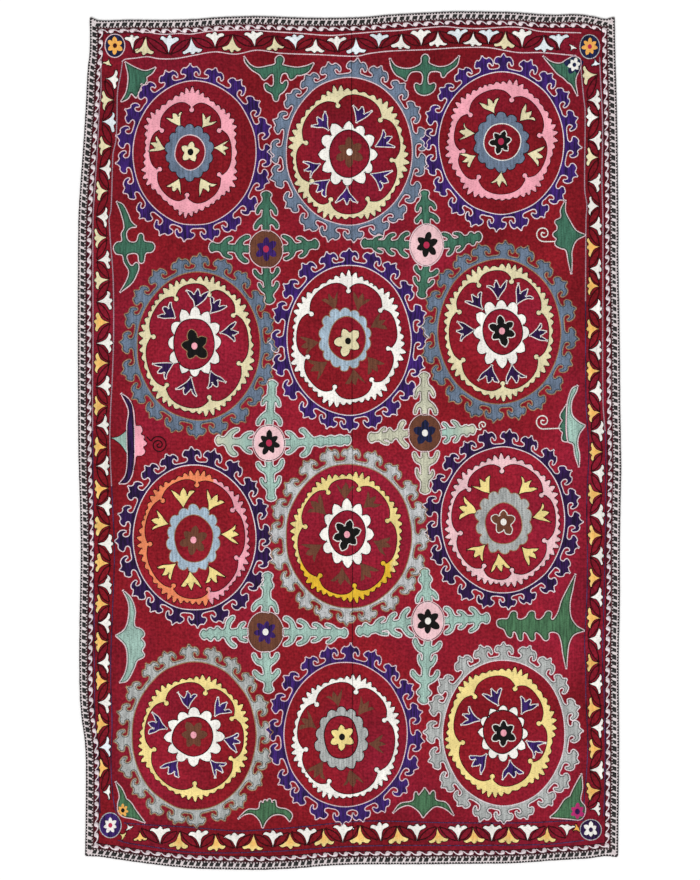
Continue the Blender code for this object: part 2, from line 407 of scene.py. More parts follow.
# %% What each rosette has
ROSETTES = [
    dict(oval=(133, 81, 256, 225), heads=(19, 357), wreath=("violet", "blush"),
         leaves=(140, 88, 241, 217), leaf_dye="rose", cusps=(2, 59, 121, 186, 247, 301), depth=0.65,
         tulips=(337, 31, 81, 153, 206, 278), tulip_dye=("cream", "soot"),
         scallops=(165, 124, 214, 181), scallop_dye=("slate", "soot"), disc=(175, 135, 205, 170),
         disc_line="blush", flower=(190.5, 152), petals=(5, 10, 10), petal_dye=("cream", "soot"),
         dot="ink"),
    dict(oval=(286, 77, 412, 225), heads=(19, 5), wreath=("slate", "blush"),
         leaves=(289, 86, 408, 222), leaf_dye="cream", cusps=(47, 97, 154, 204, 237, 283, 346),
         depth=0.72, tulips=(18, 75, 126, 181, 220, 252, 317), tulip_dye=("violet", "snow"),
         scallops=(319, 121, 377, 187), scallop_dye=("snow", "soot"), disc=(329, 130, 369, 177),
         disc_line="soot", flower=(349.5, 152), petals=(6, 13, 0), petal_dye=("walnut", None),
         dot="snow"),
    dict(oval=(439, 72, 564, 214), heads=(20, 3), wreath=("violet", "pearl"),
         leaves=(445, 79, 557, 204), leaf_dye="rose", cusps=(16, 82, 142, 215, 257, 308), depth=0.68,
         tulips=(346, 42, 111, 180, 244, 287), tulip_dye=("cream", "soot"),
         scallops=(473, 113, 529, 172), scallop_dye=("slate", "soot"), disc=(484, 123, 521, 160),
         disc_line="snow", flower=(501, 141.5), petals=(6, 11, 20), petal_dye=("ink", "snow"),
         dot="cherry"),
    dict(oval=(137, 272, 260, 420), heads=(20, 2), wreath=("slate", "tan"),
         leaves=(139, 276, 255, 416), leaf_dye="cream", cusps=(16, 55, 109, 164, 223, 280, 332),
         depth=0.75, tulips=(1, 34, 74, 145, 190, 234, 314), tulip_dye=("aubergine", "snow"),
         scallops=(168, 307, 222, 378), scallop_dye=("snow", "soot"), disc=(173, 318, 214, 370),
         disc_line="soot", flower=(194.4, 346), petals=(5, 14, 350), petal_dye=("ink", "tan"),
         dot="rose"),
    dict(oval=(287, 265, 411, 415), heads=(20, 0), wreath=("violet", "pearl"),
         leaves=(289, 272, 405, 408), leaf_dye="snow", cusps=(2, 53, 100, 144, 197, 250, 302),
         depth=0.71, tulips=(27, 71, 126, 163, 223, 263, 337), tulip_dye=("walnut", None),
         scallops=(318, 307, 372, 370), scallop_dye=("sky", "tan"), disc=(329, 317, 366, 361),
         disc_line="tan", flower=(348, 341), petals=(5, 13, 340), petal_dye=("cream", "soot"),
         dot="ink"),
    dict(oval=(438, 259, 561, 404), heads=(20, 4), wreath=("slate", "tan"),
         leaves=(443, 263, 555, 400), leaf_dye="cream", cusps=(17, 69, 119, 175, 237, 292, 332),
         depth=0.75, tulips=(354, 32, 93, 159, 199, 275, 316), tulip_dye=("aubergine", "snow"),
         scallops=(474, 299, 529, 367), scallop_dye=("snow", "soot"), disc=(483, 309, 522, 354),
         disc_line="soot", flower=(502, 331), petals=(6, 13, 350), petal_dye=("ink", "snow"),
         dot="rose"),
    dict(oval=(133, 465, 256, 610), heads=(20, 357), wreath=("aubergine", "pearl"),
         leaves=(138, 471, 251, 606), leaf_dye="apricot_to_rose",
         cusps=(3, 58, 111, 162, 208, 264, 315), depth=0.78,
         tulips=(340, 32, 83, 145, 186, 222, 294), tulip_dye=("straw", "soot"),
         scallops=(166, 505, 221, 572), scallop_dye=("sky", "tan"), disc=(175, 515, 213, 562),
         disc_line="tan", flower=(193.4, 540), petals=(6, 13, 10), petal_dye=("walnut", None),
         dot="rose"),
    dict(oval=(286, 464, 412, 608), heads=(20, 2), wreath=("mist", "tan"),
         leaves=(291, 472, 403, 602), leaf_dye="straw_to_saffron",
         cusps=(16, 71, 122, 170, 219, 282, 334), depth=0.75,
         tulips=(355, 40, 102, 149, 190, 251, 306), tulip_dye=("walnut", None),
         scallops=(321, 500, 373, 568), scallop_dye=("snow", "soot"), disc=(329, 511, 365, 556),
         disc_line="soot", flower=(347, 534.5), petals=(6, 14, 15), petal_dye=("ink", "snow"),
         dot="rose"),
    dict(oval=(441, 447, 565, 593), heads=(21, 5), wreath=("aubergine", "pearl"),
         leaves=(445, 455, 562, 587), leaf_dye="shell", cusps=(358, 59, 113, 169, 206, 256, 309),
         depth=0.745, tulips=(329, 32, 83, 142, 191, 224, 286), tulip_dye=("straw", "soot"),
         scallops=(476, 489, 533, 554), scallop_dye=("ash", "tan"), disc=(485, 503, 522, 544),
         disc_line="tan", flower=(503.6, 522), petals=(5, 12, 0), petal_dye=("walnut", "snow"),
         dot="snow"),
    dict(oval=(132, 662, 256, 810), heads=(20, 357), wreath=("ash", "tan"),
         leaves=(138, 675, 250, 800), leaf_dye="straw", cusps=(16, 66, 117, 179, 255, 318),
         depth=0.725, tulips=(348, 44, 95, 146, 214, 287), tulip_dye=("violet", "snow"),
         scallops=(165, 708, 223, 765), scallop_dye=("snow", "soot"), disc=(172, 717, 213, 756),
         disc_line="soot", flower=(193.5, 735), petals=(6, 13, 30), petal_dye=("walnut", None),
         dot="rose"),
    dict(oval=(284, 662, 407, 807), heads=(20, 4), wreath=("violet", "blush"),
         leaves=(291, 675, 401, 801), leaf_dye="snow", cusps=(14, 68, 132, 204, 256, 315),
         depth=0.74, tulips=(354, 41, 98, 161, 225, 290), tulip_dye=("walnut", None),
         scallops=(315, 707, 368, 771), scallop_dye=("ash", "soot"), disc=(324, 716, 358, 759),
         disc_line="soot", flower=(342, 737), petals=(6, 12.5, 0), petal_dye=("straw", "soot"),
         dot="ink"),
    dict(oval=(443, 660, 565, 806), heads=(20, 0), wreath=("ash", "pearl"),
         leaves=(445, 666, 556, 797), leaf_dye="straw", cusps=(22, 80, 130, 192, 256, 319),
         depth=0.69, tulips=(349, 46, 108, 164, 220, 297), tulip_dye=("violet", "snow"),
         scallops=(478, 705, 528, 761), scallop_dye=("snow", "soot"), disc=(483, 711, 522, 753),
         disc_line="soot", flower=(503.6, 733), petals=(6, 12.5, 0), petal_dye=("ink", "snow"),
         dot="rose"),
]
print("rosettes", len(ROSETTES))

# %% The wreath
# One head of the wreath: along the ring clockwise, and out from the oval, in picture units
HEAD = [
    (-11.4, 3.4), (-8.4, 3.4), (-6.0, 4.2), (-4.9, 6.2), (-6.0, 8.0), (-8.2, 8.4), (-9.9, 9.2),
    (-10.5, 10.8), (-9.4, 13.2), (-6.9, 15.2), (-4.0, 14.4, 1), (-2.2, 15.9), (0.0, 18.6, 1),
    (1.9, 15.8), (3.8, 14.5, 1), (6.6, 15.3), (9.3, 13.4), (10.5, 10.6), (10.2, 8.0), (8.8, 6.8),
    (7.6, 8.8), (6.0, 10.3), (4.3, 9.2), (3.8, 6.6), (5.0, 4.3), (7.8, 3.5),
]
HEAD_HALF, HALF_BAY = 10.5, 1.9


def wreath(box, heads, dyes):
    """The horned heads outside the oval."""
    count, first = heads
    half = ((box[2] - box[0]) + (box[3] - box[1])) / 4
    loop = []
    for k in range(count):
        middle = first + 360 * k / count + hand.uniform(-1.2, 1.2)
        tall, lean = hand.uniform(0.92, 1.06), hand.uniform(-1.2, 1.2)
        wide = (math.pi * (half + 9) / count - HALF_BAY) / HEAD_HALF
        for along, out, *sharp in HEAD:
            out_now = out * tall if out > 6 else out
            turn = math.degrees((along * wide + lean * out / 19) / (half + out))
            x, y = ring(box, middle + turn, 1.0, out_now)
            loop.append((x + hand.uniform(-0.2, 0.2), y + hand.uniform(-0.2, 0.2), *sharp))
    outer = flowing(loop)
    inner = flowing([ring(box, d, 1.0, hand.uniform(-0.3, 0.5)) for d in range(0, 360, 15)])
    fill(dyes[0], outer, [inner])
    line(dyes[1], inner, kind="line")
    if dyes[0] in ("violet", "aubergine"):
        line(dyes[1], outer, kind="line")
    else:
        bordered(dyes[1], outer, "ink")


print("points in a wreath's head", len(HEAD))

# %% The leaf ring
# How far the leaves of a spray stand from its cusp, in degrees
LEAF_PLACES = (0.0, 6.0, 12.6, 20.0, 28.6, 37.4, 46.0)
# The bay between two cusps: share of the way to the next cusp, share of the way out from its neck
BAY = [(0.028, 0.05), (0.045, 0.22), (0.09, 0.42), (0.16, 0.70), (0.25, 0.88), (0.36, 0.98), (0.5, 1.0)]
KNOB = [(-1.4, 2.0), (-2.5, 0.3), (-1.8, -1.9), (0.0, -2.7), (1.8, -1.8), (2.5, 0.4), (1.3, 2.1)]
# Where one thread ran out in a ring and the next took over, in picture units
ROSE_FROM_X, ROSE_LOW_FROM_X, ROSE_TURN_Y = 214, 209, 560
SAFFRON_FROM_X, SAFFRON_TO_X, SAFFRON_BELOW_Y = 300, 392, 552


def next_thread(dye):
    """Where a leaf ring is worked in its second thread: 1 or 0 at a point, or None if all in one."""
    if dye == "apricot_to_rose":
        return lambda p: float(p[0] > ROSE_FROM_X and p[1] < ROSE_TURN_Y
                               or p[0] > ROSE_LOW_FROM_X and p[1] > ROSE_TURN_Y)
    if dye == "straw_to_saffron":
        return lambda p: float(SAFFRON_FROM_X < p[0] < SAFFRON_TO_X and p[1] > SAFFRON_BELOW_Y)
    return None


def leaf_ring(box, dye, cusps, depth):
    """The leafy ring: sprays of pointed leaves at the cusps that hang inwards, low waves between."""
    thin = 0.895 - max(0, 0.73 - depth) * 1.0
    waist = thin + (0.085 if depth < 0.7 else 0.05)
    outside, inside = [], []
    for k, cusp in enumerate(cusps):
        after = cusps[(k + 1) % len(cusps)]
        span = (after - cusp) % 360
        half_row = [a for a in LEAF_PLACES if a < span / 2 - 2.6]
        middles = half_row + [span - a for a in reversed(half_row)]
        if middles[len(half_row)] - middles[len(half_row) - 1] > 10.5:
            middles.insert(len(half_row), span / 2)
        middles = [m + hand.uniform(-0.5, 0.5) for m in middles]
        bounds = [(a + b) / 2 for a, b in zip(middles, middles[1:])]
        for j, middle in enumerate(middles[:-1]):
            off = min(abs(middle), abs(span - middle))
            near = math.exp(-((off / 12.5) ** 2))
            before = bounds[j - 1] if j else -LEAF_PLACES[1] / 2
            beyond = bounds[j]
            body = waist + (0.975 - waist) * near
            top = body + 0.018 + 0.036 * near + hand.uniform(-0.012, 0.012)
            bound_near = math.exp(-((min(beyond, span - beyond) / 12.5) ** 2))
            low = waist + (0.975 - waist) * bound_near - 0.014 - 0.024 * bound_near
            away = 0.0 if off < 1 else (1 if middle < span / 2 else -1)
            tip = middle + away * (0.9 * near + 0.5)
            shoulder = low * 0.30 + top * 0.70
            outside.append(ring(box, cusp + before * 0.45 + tip * 0.55, shoulder))
            outside.append((*ring(box, cusp + tip, top), *([1] if near > 0.55 else [])))
            outside.append(ring(box, cusp + beyond * 0.45 + tip * 0.55, shoulder))
            outside.append((*ring(box, cusp + beyond, low), 1))
        neck = depth + 0.045
        for share, rise in BAY + [(1 - a, b) for a, b in reversed(BAY[:-1])]:
            inside.append(ring(box, cusp + span * share, neck + (thin - neck) * rise))
        knob = Vector(ring(box, after, depth + 0.015))
        out = (knob - Vector(ring(box, 0, 0))).normalized()
        side = Vector((-out.y, out.x))
        inside += [tuple(knob + out * b + side * a) for a, b in KNOB]
    outer, inner = flowing(outside), flowing(inside)
    fill(dye, outer, [inner], fade=next_thread(dye))
    line("soot", outer, kind="thin")
    line("soot", inner, kind="thin")


print("leaves in a full spray", 2 * len(LEAF_PLACES) - 1)

# %% Tulips, scallops and flowers
TULIP = [
    (0.0, -0.8, 1), (-3.0, 4.4), (-6.6, 8.8), (-11.4, 13.4, 1), (-7.0, 13.4), (-3.9, 10.4, 1),
    (-3.2, 14.0), (-1.0, 17.6, 1), (1.2, 13.8), (2.7, 10.6, 1), (6.0, 14.2), (9.8, 17.0, 1),
    (7.2, 10.4), (3.6, 4.8),
]


def tulips(box, angles, dyes):
    """Tulips that stand round an oval, each a little off and now and then mirrored."""
    for degrees in angles:
        foot = ring(box, degrees, 1.0, 0.6)
        size = hand.uniform(0.92, 1.08) * (0.86 if dyes[0] == "cream" else 1.0)
        skew = hand.uniform(-14, 14)
        wide = size * hand.choice((-1, 1)) * hand.uniform(0.88, 1.05)
        shape = turned(unsteady(TULIP, 0.7), foot, degrees + skew, (wide, size))
        loop = flowing(shape)
        fill(dyes[0], loop)
        if dyes[1]:
            line(dyes[1], loop, kind="fine_light" if dyes[1] == "snow" else "thin")


def scalloped(box, dyes, disc, disc_line):
    """The scalloped ring: deep petals where it is white, shallow scallops where it is coloured."""
    white = dyes[0] == "snow"
    count, notch = (12, 0.79) if white else (14, 0.88)
    loop = []
    for k in range(count):
        middle, half = 360 * k / count + hand.uniform(-2, 2), 180 / count
        top = 1.0 + hand.uniform(-0.04, 0.04)
        side = top - (0.06 if white else 0.03)
        pointed = [1] if hand.random() < (0.42 if white else 0.1) else []
        crown = (0, top + 0.04 * len(pointed), *pointed)
        for at, reach, *sharp in ((-0.98, notch, 1), (-0.56, side), crown, (0.56, side)):
            loop.append((*ring(box, middle + at * half, reach), *sharp))
    outer = flowing(loop)
    inner = flowing([ring(disc, d, 1.0 + hand.uniform(-0.04, 0.05)) for d in range(0, 360, 36)])
    fill(dyes[0], outer, [inner])
    line(dyes[1], outer, kind="thin" if dyes[1] == "soot" else "fine")
    line(disc_line, inner, kind="line" if disc_line in ("snow", "blush") else "fine")


def flower(centre, petals, dyes, dot, rise=0.0, dot_size=3.0):
    """A flower: petals are how many, how far they reach and where the first one points."""
    count, reach, first = petals
    loop = []
    for k in range(count):
        middle, half = first + 360 * k / count + hand.uniform(-4, 4), 180 / count
        far = reach * hand.uniform(0.88, 1.12)
        pointed = [1] if hand.random() < 0.35 else []
        crown = (0, far * 1.04, *pointed)
        for at, out, *sharp in ((-1.0, reach * 0.60, 1), (-0.56, far * 0.84), crown, (0.56, far * 0.84)):
            angle = math.radians(middle + at * half)
            loop.append((centre[0] + out * math.sin(angle), centre[1] - out * math.cos(angle) * 1.08,
                         *sharp))
    loop = flowing(loop)
    fill(dyes[0], loop, rise=rise)
    if dyes[1]:
        line(dyes[1], loop, kind={"snow": "line", "soot": "thin"}.get(dyes[1], "fine"), rise=rise)
    if dot:
        spot = [(centre[0] + dot_size * math.sin(a), centre[1] - dot_size * 1.15 * math.cos(a))
                for a in np.linspace(0, math.tau, 9)[:-1]]
        fill(dot, flowing(spot), rise=rise + 0.0002)


print("points in a tulip", len(TULIP))

# %% All the rosettes
for r in ROSETTES:
    wreath(r["oval"], r["heads"], r["wreath"])
    leaf_ring(r["leaves"], r["leaf_dye"], r["cusps"], r["depth"])
    tulips(r["scallops"], r["tulips"], r["tulip_dye"])
    scalloped(r["scallops"], r["scallop_dye"], r["disc"], r["disc_line"])
    flower(r["flower"], r["petals"], r["petal_dye"], r["dot"])
print("fills so far", len(fills), "lines", len(lines))

# %% [markdown]
# ## The crosses
# Between the rosettes stand crosses: an oval with a flower, and four leafy arms whose side leaves
# hang back towards the oval. An arm is drawn along one axis and then turned and stretched.

# %% Crosses between the rosettes
# Centre, oval's dye, half-axes, flower's dye, petals, dot, then for each arm: degrees clockwise from
# up, where it ends, how far each pair of leaves reaches aside (under 8 it is a bead), its dye
CROSSES = [
    ((266, 249), ("walnut", "blush"), (17, 19), ("violet", None), (6, 10.5, 0), "cherry",
     [(0, (266.5, 191), (12.5, 10.5), "leaf"), (90, (319, 243.5), (12.5, 10.5), "leaf"),
      (180, (270, 304), (12.5, 10), "leaf"), (270, (209, 247), (13, 10.5), "leaf")]),
    ((426.5, 245), ("shell", "blush"), (17, 21), ("ink", None), (6, 11, 10), "cherry",
     [(0, (424, 190), (12, 10.5), "leaf"), (90, (482, 236), (12, 10.5, 7), "leaf"),
      (180, (421, 298), (12, 10.5), "leaf"), (270, (361, 243), (12, 12, 9), "leaf")]),
    ((269, 443), ("shell", "soot"), (15.5, 17.5), ("ink", None), (7, 11, 0), "cherry",
     [(0, (272.5, 380), (13, 9), "mint"), (90, (351, 440), (11, 14, 5.5, 5.2, 5.4), "mint"),
      (180, (271.5, 501), (14, 10.5), "mint"), (270, (215, 440), (11, 13.5), "pale_to_mint")]),
    ((425, 433), ("walnut", "blush"), (16.5, 19), ("navy", None), (5, 11, 0), "snow",
     [(0, (424, 372), (12, 10.5), "pale"), (90, (476, 429), (11, 10.5, 6), "pale_to_mint"),
      (180, (425, 494), (13, 9), "pale"), (270, (368, 438), (13.5, 7.5, 9), "pale")]),
    ((265.5, 632), ("walnut", "blush"), (18, 20.5), ("violet", None), (7, 10.5, 8), "snow",
     [(0, (268, 572), (12.5, 6.4), "mint"), (90, (348, 633), (15, 13, 10, 10), "mint"),
      (180, (269, 693), (13, 13), "mint"), (270, (200, 634.5), (11, 15.5, 7, 6.6), "mint")]),
    ((428, 621), ("shell", "soot"), (15.5, 19), ("ink", None), (6, 11.5, 0), "snow",
     [(0, (424, 568), (11, 6.4), "mint"), (90, (490, 618), (13, 9, 12), "mint"),
      (180, (423, 704), (13.5, 9, 13.5, 7.8), "mint"), (270, (356, 632), (15, 12, 9, 7), "mint")]),
]


def arm(start, end, reaches, dye):
    """A leafy arm from an oval's edge to its tip, with pairs of side leaves that hang back."""
    run = math.hypot(end[0] - start[0], end[1] - start[1])
    degrees = math.degrees(math.atan2(end[0] - start[0], start[1] - end[1]))
    head = 6.5
    lengths = [13.0 if reach > 8 else 8.5 for reach in reaches]
    scale = (run - head - 3.0) / sum(lengths)
    halves = []
    for _ in (0, 1):
        side, root = [(3.2, 0.0, 1), (3.7, 1.6)], 3.0
        for reach, length in zip(reaches, lengths):
            wide, low = reach * hand.uniform(0.88, 1.06), hand.uniform(-1.2, 0.8)
            if reach > 8:
                leaf = [(4.2, 3.0), (wide * 0.58, 2.2), (wide * 0.82, -1.4 + low), (wide, -1.5 + low),
                        (wide * 1.04, 2.2 + low), (wide * 0.77, 6.5), (wide * 0.48, 8.8), (4.1, 10.4)]
            else:
                leaf = [(4.1, 0.4), (wide, 3.2), (wide * 0.97, 5.4), (4.1, 8.0)]
            side += [(a, root + b * min(scale, 1.15)) for a, b in leaf]
            root += length * scale
        side += [(3.9, run - head), (5.2, run - head * 0.62), (4.4, run - 2.0)]
        halves.append(unsteady(side, 0.35))
    shape = halves[0] + [(0.0, run)] + [(-p[0], *p[1:]) for p in reversed(halves[1])]
    loop = flowing(turned(shape, start, degrees))
    fade = (lambda p: min(1.0, abs(p[0] - end[0]) / 30)) if dye == "pale_to_mint" else None
    fill(dye, loop, fade=fade)
    bordered("blush" if dye == "leaf" else "pearl", loop)


for centre, dyes, halves, petal_dyes, petals, dot, arms in CROSSES:
    box = (centre[0] - halves[0], centre[1] - halves[1], centre[0] + halves[0], centre[1] + halves[1])
    for degrees, end, reaches, dye in arms:
        arm(ring(box, degrees, 0.97), end, reaches, dye)
    oval = flowing([ring(box, d, 1.0 + hand.uniform(-0.02, 0.02)) for d in range(0, 360, 30)])
    fill(dyes[0], oval, rise=0.0002)
    line(dyes[1], oval, kind="line" if dyes[1] == "blush" else "thin", rise=0.0002)
    # Where the outline is blush, the dark row inside it is partly dark thread and partly painted shade
    # where the raised stitch meets the silk
    if dyes[1] == "blush":
        line("soot", inset(oval, 0.9), kind="thin", rise=0.0002)
    else:
        line("shell", inset(oval, -1.0), kind="fine_light")
    flower(centre, petals, petal_dyes, dot, rise=0.0004)
print("crosses", len(CROSSES))

# %% [markdown]
# ## Sprigs, palmettes and corner leaves
# The spaces along the border hold single motifs: bird-like sprigs at the top, crowns at the bottom,
# half palmettes at the sides and a pointed leaf in each corner. Each was drawn once by hand, so
# each has its own few points here.

# %% Single motifs
SINGLES = [
    ("leaf", "blush", [  # corner leaf, top left
        (125.5, 62.2, 1), (136, 67.9), (145.6, 70.8), (155.6, 67.5, 1), (152.3, 72.7), (146.2, 77.5),
        (147, 80, 1), (144.6, 84.2, 1), (141, 86.5), (138.5, 93), (136, 97.5, 1), (131.2, 92.8, 1),
        (127.4, 98.5), (121.0, 101.6, 1), (126.4, 91.8), (128.4, 76.5)]),
    ("leaf", "blush", [  # corner leaf, top right
        (543.5, 56.3, 1), (551.4, 61.8), (560.3, 63.3), (568.2, 59.0), (573.5, 56.8), (580, 59.3),
        (580.3, 67.2), (575.6, 79.1), (577.4, 95.3, 1), (571.2, 84), (568.5, 82.5, 1), (563.6, 77.6, 1),
        (557.4, 73.2), (551.4, 66)]),
    ("moss", "blush", [  # corner leaf, bottom left
        (115.9, 782.1, 1), (121.7, 788.8), (126.4, 799.3, 1), (129, 801), (132.2, 804.6, 1),
        (136, 810.8), (144.8, 822.5, 1), (133.1, 818.4), (123.6, 816.5), (118.6, 812.0),
        (118, 804), (119.6, 796)]),
    ("moss", "blush", [  # corner leaf, bottom right
        (581.5, 774.3, 1), (582.3, 788.2), (580.5, 800), (585.2, 808), (581.1, 819), (570.2, 818.8),
        (550.2, 817.2, 1), (557.4, 810.6), (561.8, 804, 1), (565, 799.5), (570.2, 796.2, 1),
        (574, 788)]),
    ("leaf", "blush", [  # sprig, top left
        (279.9, 55.5), (283.6, 58.5), (283, 62.5), (282, 64.4), (296, 67.4), (306, 66), (313.8, 62.8, 1),
        (309, 71), (302, 74.6), (297, 75, 1), (293.5, 78.5), (290.5, 79.5), (288.6, 77, 1), (286.5, 73),
        (281.8, 74.2), (281, 83.5), (286.6, 80.6), (287, 86), (283, 92), (279.5, 94.5), (277.5, 100.5),
        (274.5, 100.5), (272, 94), (266, 90), (265.2, 83.5), (271, 86.5), (273.6, 84.5), (273, 74.4),
        (270.5, 74.5), (264.8, 79.6), (262.3, 78.4), (259.6, 74.5), (252, 69.5), (245.4, 62),
        (244.2, 56.6, 1), (250, 64.4), (257, 67.6), (268, 66), (275.4, 63.5), (275.6, 58.5)]),
    ("leaf", "blush", [  # sprig, top right
        (425.3, 54.4), (428.9, 57.5), (428.6, 62.3), (431.5, 64.6), (440, 67), (450, 64.5), (459.3, 56, 1),
        (456.8, 65), (450.4, 70.4), (447, 73, 1), (443.1, 77.1), (440.6, 72.2, 1), (436, 71),
        (429.1, 73), (428.6, 84.2), (434.8, 83.4), (434, 90), (428, 94.2), (421, 94.4), (416, 90.4),
        (415.4, 83.6), (421.3, 84.6), (421.9, 73.2), (413, 71.5), (408.6, 75), (406.1, 81.1, 1),
        (402, 78), (396, 74.5), (391.5, 67), (389.7, 58.2, 1), (396, 66.2), (408, 68.8), (418.4, 65.6),
        (421.6, 62), (421.8, 57.2)]),
    ("moss", "blush", [  # crown, bottom left
        (238.4, 818.4, 1), (247.9, 809.8), (258.4, 808.9), (260.8, 801.4), (262.9, 803.4, 1),
        (265, 799.8), (267.2, 801.6, 1), (269.4, 798.8), (271.9, 802.6, 1), (274.7, 800.3),
        (277, 807), (287.1, 809.8), (292, 815), (289.8, 821.3, 1), (283.6, 815.2), (273.8, 814.8),
        (266.6, 820.5), (262.7, 828, 1), (259.4, 820), (252.3, 813.7), (245.1, 814.2)]),
    ("moss", "blush", [  # crown, bottom right
        (393.4, 812.6, 1), (400.2, 804), (413, 800.6), (415.6, 792), (418.6, 795.8, 1), (421.8, 792),
        (424.8, 788, 1), (427.4, 791.6), (429.8, 794.6, 1), (433.8, 791), (436, 799.8), (446, 803),
        (453.8, 815.4, 1), (445.3, 808.6), (435.8, 806.2), (428.2, 811.6), (423.3, 817.4, 1),
        (417.8, 810.2), (409.1, 805.2), (400, 807.4)]),
    ("leaf", "blush", [  # half cross at the left side
        (116.9, 201.8, 1), (122.5, 204.5), (127.6, 213.4), (131, 221.5), (136.4, 226.6, 1), (130.6, 227.4),
        (126.6, 231.5), (126.5, 237.5), (129.5, 241.8), (136.4, 241.5), (139.2, 234.2), (142.5, 234.2),
        (144.4, 241), (152.5, 243), (154.6, 247), (152, 251.5), (145.8, 253), (143.2, 262),
        (139.6, 262.2), (137.2, 253.8), (128, 254), (126.6, 258), (131.6, 266), (136.6, 262.6),
        (138.6, 266.6), (136.6, 274), (131.5, 283), (120.1, 292, 1), (127, 280), (129, 271),
        (124.2, 262), (122.4, 255), (116.4, 253.4), (113.8, 247.8), (116.5, 242.8), (121.8, 241),
        (121.6, 233.5), (124.4, 227.4), (121.6, 214)]),
    ("aubergine", "blush", [  # stem of the upper left palmette
        (121.4, 393.8, 1), (128.0, 398.6), (132.4, 407), (133.8, 425), (134.2, 441), (134.0, 458),
        (132.0, 474), (127, 482.5), (119.5, 483.4, 1), (125.4, 475.5), (127.6, 462), (127.4, 446),
        (127.2, 425), (128.6, 410)]),
    ("mint", "soot", [  # its wedge
        (111.5, 438, 1), (119, 436.2), (126.8, 430.4, 1), (127.2, 441), (127.2, 454, 1),
        (121, 445), (116, 440.8)]),
    ("rose", "soot", [  # its fan
        (131.6, 402, 1), (134.6, 412), (136.2, 425.4), (140.4, 425.6), (142.6, 430.6), (140.8, 434.4, 1),
        (144.6, 436.4), (143.8, 439.6, 1), (147, 443.6), (143.4, 447, 1), (145.2, 452.2), (141.4, 455.8),
        (136.8, 456.4), (135.4, 463), (133.4, 470, 1), (134.4, 455), (134.6, 440), (134, 424)]),
    ("mint", "blush", [  # lower left palmette
        (123.2, 590.6, 1), (130.8, 598), (135, 610.4), (134.6, 625.8), (141.6, 629.4), (144.4, 634.2),
        (141.2, 638.6, 1), (144.8, 644), (141.8, 650.2, 1), (144, 656), (137, 660.6), (134, 668),
        (127, 680.4), (120.0, 682.4, 1), (125.5, 672.1), (127.6, 658.7), (125.3, 645.3), (115.9, 635.7, 1),
        (124.6, 629.4), (128.6, 618), (128.6, 603)]),
    ("leaf", "blush", [  # upper right palmette
        (565.5, 200.6, 1), (560.9, 209.9), (561, 217.4), (555.2, 221.3), (557.6, 226.4), (557.2, 230, 1),
        (553.2, 234.4), (556.8, 238.6, 1), (555.4, 244.4), (561, 248), (566, 249.8), (568.6, 261.3),
        (571.4, 273.6, 1), (571.8, 261.3), (571.8, 251), (576.1, 240.5), (585.4, 235, 1),
        (576.2, 230.6), (569.2, 219.8), (565.2, 211)]),
    ("mint", "blush", [  # lower right palmette
        (577.6, 385.8, 1), (572.4, 388.6), (568.6, 398.8), (566.8, 410), (566.4, 430), (568.2, 441.4),
        (573.2, 444), (575.2, 455), (578.9, 466.6, 1), (579.4, 455), (577.4, 444), (579.2, 434),
        (585.2, 425.5, 1), (577.4, 421), (571.8, 414), (571.6, 401), (576.4, 391)]),
    ("leaf", "blush", [  # its lobes
        (566.6, 405, 1), (563.2, 410), (560.4, 415.6), (562.6, 420.6, 1), (559.4, 427.6), (562.8, 432.6, 1),
        (562.4, 440), (567.4, 441.6, 1), (566.2, 430), (566.4, 416)]),
    ("moss", "blush", [  # branch at the right side
        (575.4, 574.6, 1), (568.2, 588), (561.8, 601), (558.4, 612), (553.4, 619.6), (551, 618.8),
        (551.2, 612.4), (547, 611.6), (543.6, 616.6), (539.6, 619.6), (535.4, 618.4), (534.2, 612),
        (529.7, 611.8), (526.6, 616.6), (521.8, 619.4), (517.4, 618.4), (516.2, 612.2), (511.6, 612),
        (507.6, 618.8), (502.6, 619), (497.6, 620.6), (498, 626), (504, 629.2), (507.4, 635.6),
        (511.4, 637.2), (513.6, 631.4), (516.6, 634), (518.8, 639.6), (522, 640), (523.6, 632.4),
        (527, 634), (530.6, 640), (534.4, 639.6), (535.4, 632.4), (540, 634.4), (545, 640.2),
        (548.6, 638.6), (549.4, 632.6), (557.4, 633), (561, 640), (563.4, 655), (566.3, 668.6, 1),
        (567.2, 655), (569, 643), (573.8, 634.6), (584.4, 630.4, 1), (576.6, 626), (570.8, 617),
        (569.8, 603), (572.6, 589)]),
]

for dye, outline, points in SINGLES:
    loop = flowing(points)
    fill(dye, loop)
    if outline == "blush":
        bordered(outline, loop)
    else:
        line(outline, loop, kind="thin")
print("single motifs", len(SINGLES))

# %% Small flowers and spirals
# Flowers on the corner leaves: centre, petals, petal dye, dot, metres above the leaf, size of the dot
LEAF_FLOWERS = [
    ((574.2, 65.0), (5, 9.2, 0), "navy", None, 0.0002, 3.0),
    ((574.4, 64.8), (6, 6.4, 20), "snow", "navy", 0.0004, 2.0),
    ((577.4, 811.6), (6, 7.4, 0), "magenta", "aubergine", 0.0003, 2.6),
    ((122.8, 810.4), (7, 5.6, 0), "amber", "ink", 0.0003, 2.0),
]
for centre, petals, petal_dye, dot, rise, dot_size in LEAF_FLOWERS:
    flower(centre, petals, (petal_dye, None), dot, rise, dot_size)

# Dye, where the tail starts, the spiral's centre, turns, reach, degrees at which it starts, stitch
SPIRALS = [
    ("soot", (147.5, 437.6), (158.6, 445), 2.1, 9.0, 300, "fine"),
    ("snow", (554.4, 241.4), (543.6, 233.6), 1.6, 8.0, 170, "line"),
    ("snow", (560.2, 428.2), (543.2, 421.2), 1.6, 8.0, 160, "line"),
    ("snow", (477.6, 429), (483, 425), 1.2, 4.6, 200, "line"),
]
POINTS_A_TURN = 14


